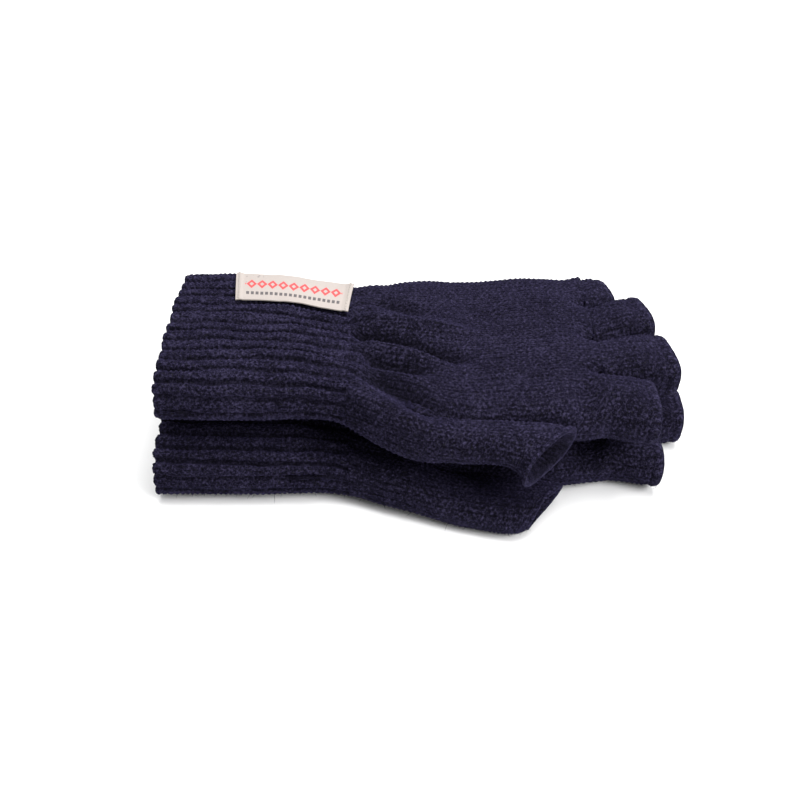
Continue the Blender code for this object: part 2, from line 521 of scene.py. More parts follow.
class Nodes:
    """A material's node tree, with short ways to add to it."""

    def __init__(self, name: str) -> None:
        """Starts a material with only its shader and output.

        Args:
            name: The material's name.
        """
        self.material = bpy.data.materials.new(name)
        self.material.use_nodes = True
        self.tree = self.material.node_tree
        self.shader = self.tree.nodes["Principled BSDF"]

    def add(
        self, kind: str, links: dict | None = None, values: dict | None = None, **settings: str
    ) -> bpy.types.Node:
        """Adds a node.

        Args:
            kind: The node's type name, without its ShaderNode prefix.
            links: Input names or numbers and the sockets to link to them.
            values: Input names or numbers and their values.
            **settings: The node's own settings.

        Returns:
            The node.
        """
        node = self.tree.nodes.new("ShaderNode" + kind)
        for setting, value in settings.items():
            setattr(node, setting, value)
        for key, value in (values or {}).items():
            node.inputs[key].default_value = value
        for key, socket in (links or {}).items():
            self.tree.links.new(socket, node.inputs[key])
        return node

    def math(
        self,
        operation: str,
        first: Socket | float,
        second: Socket | float = 0.0,
        third: Socket | float | None = None,
    ) -> Socket:
        """A sum of sockets or numbers.

        Args:
            operation: The kind of sum.
            first: Its first value.
            second: Its second value, if it has one.
            third: Its third value, if it has one.

        Returns:
            The result's socket.
        """
        node = self.tree.nodes.new("ShaderNodeMath")
        node.operation = operation
        for slot, value in enumerate((first, second, third)):
            if isinstance(value, Socket):
                self.tree.links.new(value, node.inputs[slot])
            elif value is not None:
                node.inputs[slot].default_value = value
        return node.outputs[0]

    def ramp(self, factor: Socket, stops: list[tuple[float, Colour]]) -> Socket:
        """Colours along a factor.

        Args:
            factor: The factor's socket.
            stops: Places along it and their colours.

        Returns:
            The colour's socket.
        """
        node = self.add("ValToRGB", {0: factor})
        elements = node.color_ramp.elements
        while len(elements) < len(stops):
            elements.new(1.0)
        for element, (place, colour) in zip(elements, stops):
            element.position = place
            element.color = (*colour, 1.0)
        return node.outputs[0]

    def blend(
        self, factor: Socket | float, first: Socket | Colour, second: Socket | Colour, how: str = "MIX"
    ) -> Socket:
        """Mixes two colours.

        Args:
            factor: How much of the second there is.
            first: The first colour.
            second: The second colour.
            how: The way they mix.

        Returns:
            The colour's socket.
        """
        node = self.tree.nodes.new("ShaderNodeMix")
        node.data_type = "RGBA"
        node.blend_type = how
        for slot, value in ((0, factor), (6, first), (7, second)):
            if isinstance(value, Socket):
                self.tree.links.new(value, node.inputs[slot])
            elif slot == 0:
                node.inputs[slot].default_value = value
            else:
                node.inputs[slot].default_value = (*value, 1.0)
        return node.outputs[2]

    def noise(self, scale: float, detail: float, roughness: float) -> Socket:
        """Noise in the piece's own coordinates.

        Args:
            scale: Its bumps per metre.
            detail: How many finer layers it has.
            roughness: How strong the finer layers are.

        Returns:
            The factor's socket.
        """
        coordinates = self.add("TexCoord").outputs["Object"]
        values = {"Scale": scale, "Detail": detail, "Roughness": roughness}
        return self.add("TexNoise", {"Vector": coordinates}, values).outputs[0]

    def specks(self, noise: Socket, level: float, gain: float, most: float) -> Socket:
        """Where a noise rises above a level.

        Args:
            noise: The noise's socket.
            level: The level.
            gain: How steeply the specks rise from it.
            most: How strong they get.

        Returns:
            The factor's socket.
        """
        risen = self.math("MULTIPLY", self.math("SUBTRACT", noise, level), gain)
        return self.math("MINIMUM", self.math("MAXIMUM", risen, 0.0), most)

    def bump(self, height: Socket, strength: float, distance: float) -> Socket:
        """A bump from a height. Returns its socket, with the distance in metres."""
        return self.add("Bump", {"Height": height}, {"Strength": strength, "Distance": distance}).outputs[0]

    def finish(
        self, colour: Socket, normal: Socket, **settings: float | tuple[float, ...]
    ) -> bpy.types.Material:
        """Joins the colour and the bump to the shader.

        Args:
            colour: The colour's socket.
            normal: The bump's socket.
            **settings: The shader's own values, by name, with underscores for spaces.

        Returns:
            The material.
        """
        self.tree.links.new(colour, self.shader.inputs["Base Color"])
        self.tree.links.new(normal, self.shader.inputs["Normal"])
        for name, value in settings.items():
            self.shader.inputs[name.replace("_", " ")].default_value = value
        return self.material


@dataclass(frozen=True)
class Wool:
    """Heathered carded wool: two close shades spun together, with a few pale fibres and a soft bloom.

    Attributes:
        name: The material's name.
        shade: The main shade of the yarn.
        dark: The darker shade spun with it.
        fleck: The palest blue fibres.
        grey: The undyed fibres.
        painted_groove_shade: The painted shade deep between stitches, also used in folds, in gathers and on
            the inside faces.
        bloom: The tint of the light that the nap catches.
        heather: How fine the heathering is, in bumps per metre.
        patches: How wide the uneven dyeing is, in bumps per metre.
        undyed: How fine the undyed fibres are, in bumps per metre.
        hairs: How fine the pale fibres are, in bumps per metre.
        fibres: How fine the nap is, in bumps per metre.
    """

    name: str = "navy_wool"
    shade: Colour = (0.0062, 0.0052, 0.0142)
    dark: Colour = (0.0014, 0.0012, 0.0024)
    fleck: Colour = (0.048, 0.042, 0.087)
    grey: Colour = (0.026, 0.026, 0.024)
    painted_groove_shade: Colour = (0.0007, 0.0006, 0.0011)
    bloom: Colour = (0.42, 0.36, 0.95)
    heather: float = 950.0
    patches: float = 60.0
    undyed: float = 1500.0
    hairs: float = 3400.0
    fibres: float = 2600.0

    def make(self) -> bpy.types.Material:
        """Makes the material.

        Returns:
            The material.
        """
        nodes = Nodes(self.name)
        relief = nodes.add("Attribute", attribute_name="relief").outputs["Fac"]
        heather = nodes.noise(self.heather, 4.0, 0.75)
        mixed = nodes.math("MULTIPLY_ADD", nodes.noise(self.patches, 3.0, 0.6), 0.14, heather)
        yarn = nodes.ramp(mixed, [(0.44, self.dark), (0.56, self.shade), (0.69, self.fleck)])
        undyed = nodes.specks(nodes.noise(self.undyed, 2.0, 0.5), 0.60, 6.0, 0.6)
        yarn = nodes.blend(undyed, yarn, self.grey)
        pale = nodes.specks(nodes.noise(self.hairs, 1.0, 0.5), 0.60, 5.0, 0.6)
        yarn = nodes.blend(pale, yarn, self.fleck)
        # Painted shade: where the relief is low, between stitches, deep in folds and gathers and on the
        # inside faces, the colour is mixed toward the painted groove shade.
        lit = nodes.math("MULTIPLY_ADD", nodes.math("MAXIMUM", relief, 0.0), 0.92, 0.08)
        colour = nodes.blend(lit, self.painted_groove_shade, yarn)
        bump = nodes.bump(nodes.noise(self.fibres, 4.0, 0.7), 0.9, 0.0005)
        return nodes.finish(
            colour,
            bump,
            Roughness=0.92,
            Specular_IOR_Level=0.05,
            Sheen_Weight=0.08,
            Sheen_Roughness=0.45,
            Sheen_Tint=(*self.bloom, 1.0),
        )


# --------------------------------------------------------------------------------------------------
# The gloves
# --------------------------------------------------------------------------------------------------

FINGERS = ("index", "middle", "ring", "little")
SIZED_PARTS = ("cuff", "hand", "index_finger", "thumb")


@dataclass
class Stall:
    """A finger or thumb stall, by the sides of its flattened outline along its length.

    Attributes:
        near: Its near side across the glove.
        far: Its far side.
        bottom: Its underside's height.
        top: Its top's height.
        root: Where it leaves the hand.
        tip: Where its far top ends.
        shorten: How much sooner it ends at its near side.
        droop: How much sooner it ends at its underside.
    """

    near: Course
    far: Course
    bottom: Course
    top: Course
    root: float
    tip: float
    shorten: float = 0.0
    droop: float = 0.0


@dataclass
class Glove:
    """One glove, knitted in sections.

    Attributes:
        layer: Which of the two it is.
        seed: Picks its unevenness.
        near: Its near side from the mouth of the cuff to the root of the thumb.
        parting: The line on which the thumb parts from the hand, and then the hand's near side.
        far: Its far side.
        bottom: Its underside's height.
        top: Its top's height.
        roots: Where the finger stalls meet at the knuckles, from the near side to the far side.
        thumb: The thumb stall.
        fingers: The finger stalls, from the index finger on.
        folds: Ridges and valleys on its top.
        gauge: How fine its knitting is.
        wall: The cloth's thickness.
        neck: The least half thickness where sections part.
        thumb_wales: Stitches across each face of the thumb.
        finger_wales: Stitches across each face of a finger.
        ribs: Ribs across each face of the cuff.
        rib_columns: Columns of mesh to a rib.
        puffiness: How boxy the hand's upper sides are. A lower number is rounder.
        flatness: How boxy its lower sides are.
        cuff_crown: How boxy the cuff's far upper side is.
        cuff_roll: How boxy its near upper side is.
        cuff_keel: How boxy its near lower side is.
        thumb_crown: How boxy the thumb's near side is.
        seam_crown: How boxy each side of the parting between thumb and hand is.
        finger_crown: How boxy the finger stalls are at the knuckles.
        index_roll: How boxy the near side is from the thumb to the end of the index finger.
        thumb_end: How boxy the thumb's open end is.
        finger_end: How boxy the fingers' open ends are.
        thumb_split: How far before its root the thumb starts to part from the hand.
        finger_split: How far before the knuckles the fingers start to part.
        fold_room: How much lower the hollow is below the pleats.
        thumb_room: How much lower it is below the fold at the thumb's root.
        painted_fold_shade: How much darker the knit is painted deep in a fold, as shade.
        gathers: How far the cuff's gathers run into the hand.
        rim_room: How far past the frame's cuff mouth the knit starts, before its edge.
        contact: The height below which the knit is pressed flat by the surface it lies on.
        squash: How softly it is pressed.
    """

    layer: Layer
    seed: int
    near: Course
    parting: Course
    far: Course
    bottom: Course
    top: Course
    roots: tuple[float, ...]
    thumb: Stall
    fingers: tuple[Stall, ...]
    folds: tuple[Fold, ...]
    gauge: Gauge = field(default_factory=Gauge)
    wall: float = 2.4
    neck: float = 0.4
    thumb_wales: int = 7
    finger_wales: int = 8
    ribs: int = 16
    rib_columns: int = 15
    puffiness: float = 3.4
    flatness: float = 4.5
    cuff_crown: float = 5.4
    cuff_roll: float = 5.4
    cuff_keel: float = 4.5
    thumb_crown: float = 2.5
    seam_crown: float = 6.0
    finger_crown: float = 3.0
    index_roll: float = 2.1
    fold_room: float = 6.5
    painted_fold_shade: float = 0.7
    gathers: float = 19.0
    rim_room: float = 2.0
    thumb_end: float = 2.6
    finger_end: float = 2.8
    thumb_split: float = 26.0
    finger_split: float = 10.0
    thumb_room: float = 3.2
    contact: float = 0.4
    squash: float = 0.35

    def __post_init__(self) -> None:
        """Reads where its sections meet from the frame."""
        prefix = self.layer.value
        cuff, hand, thumb = (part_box(f"{prefix}_{part}") for part in ("cuff", "hand", "thumb"))
        self.mouth = cuff[0].x / MM
        self.wrist = hand[0].x / MM
        self.knuckles = hand[1].x / MM
        self.thumb_root = thumb[0].x / MM

    def node(self, part: str) -> str:
        """The name of one of its nodes and bodies."""
        return f"{self.layer.value}_{part}"

    def row_places(self, start: float, end: float) -> Array:
        """Where rows of mesh lie between two places along the glove."""
        return np.linspace(start, end, max(2, round((end - start) / self.gauge.row) + 1))

    def lobes(self, x: float, with_thumb: bool) -> list[float]:
        """The sides of the columns' groups at a place.

        Args:
            x: The place along the glove.
            with_thumb: Whether the thumb's group is there.

        Returns:
            The sides of the thumb's group, if it is there, and of the four fingers', from near to far.
        """
        near, far = float(self.parting.at(x)), float(self.far.at(x))
        shares = (np.array(self.roots) - self.roots[0]) / (self.roots[-1] - self.roots[0])
        cuts = [near + share * (far - near) for share in shares]
        return [float(self.near.at(x)), *cuts] if with_thumb else cuts

    def skin(self, x: float, y: Array, lobe: tuple[float, float], is_thumb: bool) -> tuple[Array, Array]:
        """Heights of the underside and the top over a stretch of a row.

        Args:
            x: Where the row is.
            y: Points across it.
            lobe: The sides of the group of columns that the points are in.
            is_thumb: Whether that group is the thumb's.

        Returns:
            The underside's and the top's heights.
        """
        bottom, top = float(self.bottom.at(x)), float(self.top.at(x))
        middle, half = (bottom + top) / 2, (top - bottom) / 2
        parting, far, near = float(self.parting.at(x)), float(self.far.at(x)), float(self.near.at(x))
        local = (y - lobe[0]) / (lobe[1] - lobe[0])
        thumb_split = float(smoothstep(self.thumb_root - self.thumb_split, self.thumb_root, x)) ** 1.6
        finger_split = float(smoothstep(self.knuckles - self.finger_split, self.knuckles, x)) ** 1.6
        start = near if x <= self.thumb_root else parting
        whole = (y - start) / (far - start)
        beside_thumb = float(smoothstep(self.thumb_root + 30.0, self.thumb_root + 46.0, x))
        over_cuff = 1.0 - float(smoothstep(self.wrist - 6.0, self.wrist + 16.0, x))
        crown = self.puffiness + (self.cuff_crown - self.puffiness) * over_cuff
        roll = self.puffiness + (self.cuff_roll - self.puffiness) * over_cuff
        keel = self.flatness + (self.cuff_keel - self.flatness) * over_cuff
        low = middle - half * puff(whole, keel, self.flatness)
        if x > self.thumb_root:
            roll = self.seam_crown + (self.index_roll - self.seam_crown) * beside_thumb
        high = middle + half * puff(whole, roll, crown)
        if is_thumb:
            part_low, part_high = float(self.thumb.bottom.at(x)), float(self.thumb.top.at(x))
            part_middle, part_half = (part_low + part_high) / 2, (part_high - part_low) / 2
            part = np.maximum(puff(local, self.thumb_crown, self.seam_crown) * part_half, self.neck)
            low = low + thumb_split * (part_middle - part - low)
            return low, high + thumb_split * (part_middle + part - high)
        if x <= self.thumb_root:
            share = (y - parting) / (far - parting)
            part_low = middle - half * np.maximum(puff(share, self.flatness), self.neck / half)
            part_high = middle + half * np.maximum(puff(share, self.seam_crown, crown), self.neck / half)
            low, high = low + thumb_split * (part_low - low), high + thumb_split * (part_high - high)
        outermost = self.index_roll if abs(lobe[0] - parting) < 0.01 else self.finger_crown
        part = np.maximum(puff(local, outermost, self.finger_crown) * half, self.neck)
        low = np.minimum(low, middle - self.neck)
        high = np.maximum(high, middle + self.neck)
        return low + finger_split * (middle - part - low), high + finger_split * (middle + part - high)

    def ring(self, x: float, with_thumb: bool, counts: list[int]) -> Array:
        """One row round the glove: over the top from near to far, and back below.

        Args:
            x: Where the row is.
            with_thumb: Whether the thumb's columns are in it.
            counts: Steps of mesh in each group of columns.

        Returns:
            Points (x, y, z).
        """
        sides = self.lobes(x, with_thumb)
        over, under = [], []
        for number, (left, right, count) in enumerate(zip(sides, sides[1:], counts)):
            y = left + (right - left) * sweep(33)
            low, high = self.skin(x, y, (left, right), with_thumb and number == 0)
            keep = slice(0 if number == 0 else 1, None)
            over.append(spread_evenly(y, high, count)[keep])
            under.append(spread_evenly(y, low, count)[keep])
        return row_at(x, np.concatenate([np.concatenate(over), np.concatenate(under)[::-1]]))

    def even_ring(self, x: float, steps: int) -> Array:
        """One row round the glove with its columns at even distances, as the cuff's ribs lie.

        Args:
            x: Where the row is.
            steps: Steps of mesh over the top, and as many below.

        Returns:
            Points (x, y, z).
        """
        full = self.ring(x, True, [12] + [24] * len(FINGERS))
        half = len(full) // 2
        over = spread_evenly(full[:half, 1], full[:half, 2], steps)
        under = spread_evenly(full[half:, 1], full[half:, 2], steps)
        return row_at(x, np.concatenate([over, under]))

    def pattern(self, across: Array, along: Array, kind: Pattern) -> Array:
        """One of this glove's kinds of unevenness, of two coordinates in bumps."""
        return soft_noise(across, along, self.seed + kind)

    def settle(self, cloth: Cloth) -> None:
        """Presses the folds and the cloth's large unevenness into it.

        Args:
            cloth: The cloth.
        """
        out = cloth.normals()
        x, y = cloth.points[..., 0], cloth.points[..., 1]
        upward = smoothstep(0.05, 0.75, out[..., 2])
        lift = sum(fold.lift(x, y) for fold in self.folds) * upward
        wave = 0.55 * self.pattern(x / 19.0 + 9, y / 15.0 + 9, Pattern.SAG)
        wave += 0.25 * self.pattern(x / 8.0 + 9, y / 7.0 + 9, Pattern.RIPPLE)
        cloth.push(lift + wave * (0.35 + 0.65 * upward))
        # Painted shade: the knit is darkened deep in the valleys of the folds.
        cloth.shade = 1.0 - self.painted_fold_shade * np.clip(-lift / 4.0, 0.0, 1.0)

    def gather(self, cloth: Cloth) -> None:
        """Carries the ends of the cuff's ribs a little way into the hand, as small gathers.

        Args:
            cloth: The hand's cloth.
        """
        fade = smoothstep(self.wrist + self.gathers, self.wrist + 1.0, cloth.points[..., 0])
        upward = smoothstep(0.05, 0.75, cloth.normals()[..., 2])
        drift = self.pattern(cloth.courses / 4.0, cloth.wales / 6.0, Pattern.GATHER_DRIFT)
        crest = np.abs(np.sin(np.pi * (cloth.wales / 3.0 + 0.3 * drift)))
        cloth.push(1.1 * (crest - 0.6) * fade * upward)
        # Painted shade: the knit is darkened between the gathers' crests.
        cloth.shade = cloth.shade * (1.0 - 0.5 * fade * (1.0 - crest) ** 2)

    def keep_off_floor(self, cloth: Cloth) -> None:
        """Flattens what would sink into the surface that the glove lies on.

        Args:
            cloth: The cloth.
        """
        height = cloth.points[..., 2]
        pressed = 0.05 + self.squash * np.exp((height - self.contact) / self.squash)
        cloth.points[..., 2] = np.where(height < self.contact, pressed, height)

    def knit_plain(self, cloth: Cloth, wale_offset: float = 0.0, strength: Array | float = 1.0) -> None:
        """Pushes plain stitches out of the cloth.

        Args:
            cloth: The cloth.
            wale_offset: The number of its first wale.
            strength: How strongly the stitches stand out, from 0 to 1.
        """
        wales, courses = cloth.wales + wale_offset + 0.25, cloth.courses
        shake = 0.36 * self.pattern(wales / 3.2, courses / 2.6 + 5, Pattern.SHAKE)
        wales = wales + 0.16 * self.pattern(wales / 5.0 + 7, courses / 4.0 + 3, Pattern.WALE_DRIFT)
        relief = plain_stitches(wales, courses + shake)
        thick = 1.0 + 0.4 * self.pattern(wales / 1.3, courses / 2.5, Pattern.THICKNESS)
        # The relief that colours the knit also carries the painted shade of folds and gathers.
        cloth.relief = relief * cloth.shade
        cloth.push((relief - 0.55) * thick * self.gauge.depth * strength)
        self.keep_off_floor(cloth)

    def columns(self, wales: list[int]) -> tuple[list[int], Array]:
        """How the columns of mesh lie round a row.

        Args:
            wales: Stitches in each group of columns.

        Returns:
            Steps of mesh in each group, and each column's place in wales round the row.
        """
        per = self.gauge.columns_per_wale
        counts = [group * per for group in wales]
        over = np.arange(sum(counts) + 1) / per
        return counts, np.concatenate([over, over[::-1]])

    def hand(self) -> bpy.types.Object:
        """The plain-knit hand, with the base of the thumb, hollow and open at every stall.

        Returns:
            The hand as an object.
        """
        fingers = [self.finger_wales] * len(FINGERS)
        counts, wales = self.columns([self.thumb_wales, *fingers])
        before = self.row_places(self.wrist, self.thumb_root)
        after = self.row_places(self.thumb_root, self.knuckles)
        base = Cloth(
            np.array([self.ring(x, True, counts) for x in before]),
            *np.meshgrid(wales, (before - self.wrist) / self.gauge.course),
        )
        hand_counts, hand_wales = self.columns(fingers)
        rest = Cloth(
            np.array([self.ring(x, False, hand_counts) for x in after]),
            *np.meshgrid(hand_wales, (after - self.wrist) / self.gauge.course),
        )
        for cloth, offset in ((base, 0.0), (rest, float(self.thumb_wales))):
            self.settle(cloth)
            self.gather(cloth)
            self.knit_plain(cloth, offset)
        steps = counts[0]
        shared = np.r_[steps : len(wales) // 2, len(wales) // 2 : len(wales) - steps]
        joined = (base.points[-1, shared] + rest.points[0]) / 2
        base.points[-1, shared] = joined
        rest.points[0] = joined
        sheets = [(wrap(base.points), wrap(base.relief)), (wrap(rest.points), wrap(rest.relief))]
        piece = new_piece(self.node("hand_knit"), knit_mesh(self.node("hand_knit"), sheets))
        for core in self.hand_cores():
            carve(piece, core)
        return piece

    def core(
        self, name: str, places: Array, sides: Callable[[float], tuple[float, float, float, float]]
    ) -> bpy.types.Object:
        """A plain plug that hollows out part of the hand.

        Args:
            name: Its name.
            places: Where its rows lie.
            sides: Gives the near side, far side, underside and top at a place.

        Returns:
            The plug as an object.
        """
        rows = []
        for x in places:
            near, far, low, high = sides(x)
            y = near + (far - near) * sweep(25)
            rise = np.maximum(puff(sweep(25), 2.6) * (high - low) / 2, 0.05)
            rows.append(row_at(x, oval(y, (low + high) / 2, rise, 24)))
        points = np.array(rows)
        relief = np.full(points.shape[:2], INSIDE_RELIEF)
        return new_piece(name, knit_mesh(name, [(wrap(points), wrap(relief))]))

    def hand_cores(self) -> list[bpy.types.Object]:
        """Plugs for the palm, the thumb and each finger.

        Returns:
            The plugs as objects.
        """
        wall = self.wall

        def palm(x: float) -> tuple[float, float, float, float]:
            """The palm's hollow, which draws in from the thumb before the thumb parts.

            Args:
                x: The place along the glove.

            Returns:
                Its near side, far side, underside and top.
            """
            drawn = float(smoothstep(self.thumb_root - 16.0, self.thumb_root - 2.0, x))
            near = float(self.near.at(x)) * (1 - drawn) + float(self.parting.at(x)) * drawn
            pinch = 0.25 * float(smoothstep(self.knuckles - 12.0, self.knuckles - 5.0, x))
            folded = float(smoothstep(self.wrist - 2.0, self.wrist + 3.0, x)) * self.fold_room
            folded *= 1.0 - float(smoothstep(self.wrist + 36.0, self.wrist + 52.0, x))
            low, high = float(self.bottom.at(x)) + wall, float(self.top.at(x)) - wall - folded
            trim = (high - low) * pinch
            return near + wall + 0.6, float(self.far.at(x)) - wall - 0.6, low + trim, high - trim

        def stall(part: Stall, number: int) -> Callable[[float], tuple[float, float, float, float]]:
            """A stall's hollow.

            Args:
                part: The stall.
                number: Which group of columns it continues.

            Returns:
                A function that gives its near side, far side, underside and top at a place.
            """

            def sides(x: float) -> tuple[float, float, float, float]:
                """Its sides at a place, which keep within the hand's own before its root.

                Args:
                    x: The place along the glove.

                Returns:
                    Its near side, far side, underside and top.
                """
                lobes = self.lobes(min(x, part.root - 0.1), part is self.thumb)
                inside = float(smoothstep(part.root + 1.0, part.root - 3.0, x))
                near, far = float(part.near.at(x)), float(part.far.at(x))
                near = max(near, inside * lobes[number] + (1 - inside) * near)
                far = min(far, inside * lobes[number + 1] + (1 - inside) * far)
                spare = 0.8 * inside
                folded = self.thumb_room * inside if part is self.thumb else 0.0
                return (
                    near + wall + spare,
                    far - wall - spare,
                    float(part.bottom.at(x)) + wall + spare,
                    float(part.top.at(x)) - wall - spare - folded,
                )

            return sides

        cores = [self.core("palm_core", np.linspace(self.wrist - 3.0, self.knuckles - 6.0, 33), palm)]
        fingers = [(finger, number, 12.0) for number, finger in enumerate(self.fingers)]
        for part, number, reach in [(self.thumb, 0, 10.0), *fingers]:
            places = np.linspace(part.root - reach, part.root + 3.0, 13)
            cores.append(self.core("stall_core", places, stall(part, number)))
        return cores

    def stall(
        self, name: str, part: Stall, wales: int, wale_offset: float, power: float
    ) -> bpy.types.Object:
        """A stall with a cast-off edge round its open end.

        Args:
            name: The piece's name.
            part: The stall.
            wales: Stitches across each of its faces.
            wale_offset: Its first wale's number on the hand, so that the wales run on.
            power: How boxy its end is.

        Returns:
            The stall as an object.
        """
        places = self.row_places(part.root, part.tip)
        counts, across = self.columns([wales])
        rows = []
        for x in places:
            near, far = float(part.near.at(x)), float(part.far.at(x))
            low, high = float(part.bottom.at(x)), float(part.top.at(x))
            share = (x - part.root) / (part.tip - part.root)
            y = near + (far - near) * sweep(41)
            root_power = self.thumb_crown if part is self.thumb else self.finger_crown
            boxiness = root_power + (power - root_power) * float(smoothstep(0.0, 0.6, share))
            at_end = float(smoothstep(0.55, 1.0, share))
            beside = self.seam_crown + (self.thumb_end - self.seam_crown) * at_end
            outermost = self.index_roll if part is self.fingers[0] else boxiness
            rise = puff(sweep(41), outermost, beside if part is self.thumb else boxiness) * (high - low) / 2
            loop = oval(y, (low + high) / 2, np.maximum(rise, self.neck), counts[0])
            cut = part.shorten * (far - loop[:, 0]) / (far - near)
            cut = cut + part.droop * (high - loop[:, 1]) / (high - low)
            reach = part.tip - part.root
            slanted = part.root + (x - part.root) * (reach - cut * share) / reach
            rows.append(np.column_stack([slanted, loop]))
        cloth = Cloth(np.array(rows), *np.meshgrid(across, (places - self.wrist) / self.gauge.course))
        self.settle(cloth)
        last = (part.tip - places)[:, None] * np.ones(len(across))
        wrinkle = np.abs(np.sin(np.pi * across[None, :])) ** 0.7
        band = smoothstep(3.4, 2.2, last)
        lip = 0.45 * bell(last - 1.2, 1.3) * (0.6 + 0.6 * wrinkle) - 0.35 * bell(last - 3.3, 0.8)
        shrink = 0.5 * self.pattern(across[None, :] / 4.0, last / 5.0, Pattern.SHRINK)
        cloth.push(lip + shrink * smoothstep(9.0, 0.0, last))
        self.knit_plain(cloth, wale_offset, 1.0 - 0.85 * band)
        # Painted shade: over the cast-off band the knit is darkened in the troughs between its wrinkles.
        cloth.relief = cloth.relief * (1 - band) + band * (0.35 + 0.55 * wrinkle)
        return new_piece(name, tube_mesh(name, cloth, self.wall, rim_first=False))

    def cuff(self) -> bpy.types.Object:
        """The ribbed cuff: pairs of knit wales that stand up between purled grooves.

        Returns:
            The cuff as an object.
        """
        steps = self.ribs * self.rib_columns
        places = self.row_places(self.mouth + self.rim_room, self.wrist)
        points = np.array([self.even_ring(x, steps) for x in places])
        number = np.arange(steps + 1) / self.rib_columns
        round_ribs = np.concatenate([number, number[::-1]])
        ribs, courses = np.meshgrid(round_ribs, places / self.gauge.course)
        cloth = Cloth(points, ribs, courses)
        self.settle(cloth)
        out = cloth.normals()
        x, y = cloth.points[..., 0], cloth.points[..., 1]
        from_mouth, from_wrist = x - self.mouth, self.wrist - x
        below = (np.arange(points.shape[1]) > steps)[None, :] * 100.0
        wander = 0.16 * self.pattern(x / 13.0 + 3, ribs * 0.9 + below, Pattern.RIB_WANDER)
        wander += 0.07 * self.pattern(x / 4.5, ribs * 1.7 + below, Pattern.RIB_JITTER)
        across = (ribs + wander) % 1.0
        upward = smoothstep(0.15, 0.85, out[..., 2])
        pucker = 1.0 + 0.55 * self.pattern(x / 9.0, np.round(ribs) + below, Pattern.PUCKER)
        depth = (0.4 + 0.95 * upward * pucker) * (1.0 - 0.8 * smoothstep(13.0, 0.0, from_wrist))
        ridge = np.abs(np.sin(np.pi * across)) ** 0.62
        on_ridge = smoothstep(0.10, 0.22, across) * (1.0 - smoothstep(0.78, 0.90, across))
        shake = 0.25 * self.pattern(ribs * 2.0, courses / 1.7, Pattern.SHAKE)
        stitches = plain_stitches((across - 0.14) / 0.36, courses + shake) * on_ridge
        mound = 0.5 * self.pattern(x / 7.0, ribs * 1.1 + below, Pattern.MOUND) * upward
        cloth.push((ridge - 0.72) * depth + mound)
        cloth.push((stitches - 0.5) * self.gauge.depth * 1.5)
        # Painted shade: the grooves between ribs and between stitches are darkened, more deeply on the faces
        # that look up.
        cloth.relief = 0.42 - 0.2 * upward + (0.10 + 0.18 * upward) * ridge + 0.50 * stitches
        cloth.relief = np.clip(cloth.relief, 0.0, 1.0)
        scallop = 0.9 * (ridge - 0.5) * smoothstep(7.0, 0.0, from_mouth)
        ragged = 0.8 * self.pattern(ribs * 0.6 + below, 0.5, Pattern.RAGGED_EDGE)
        cloth.points[..., 0] -= scallop + ragged * smoothstep(12.0, 0.0, from_mouth)
        self.keep_off_floor(cloth)
        name = self.node("cuff_knit")
        return new_piece(name, tube_mesh(name, cloth, self.wall, rim_first=True))


@dataclass(frozen=True)
class Cover:
    """The part of the cuff that the label lies on, where no hairs show.

    Attributes:
        near: Its near side.
        start: Its end nearest the mouth.
        end: Its end nearest the wrist.
    """

    near: float
    start: float
    end: float


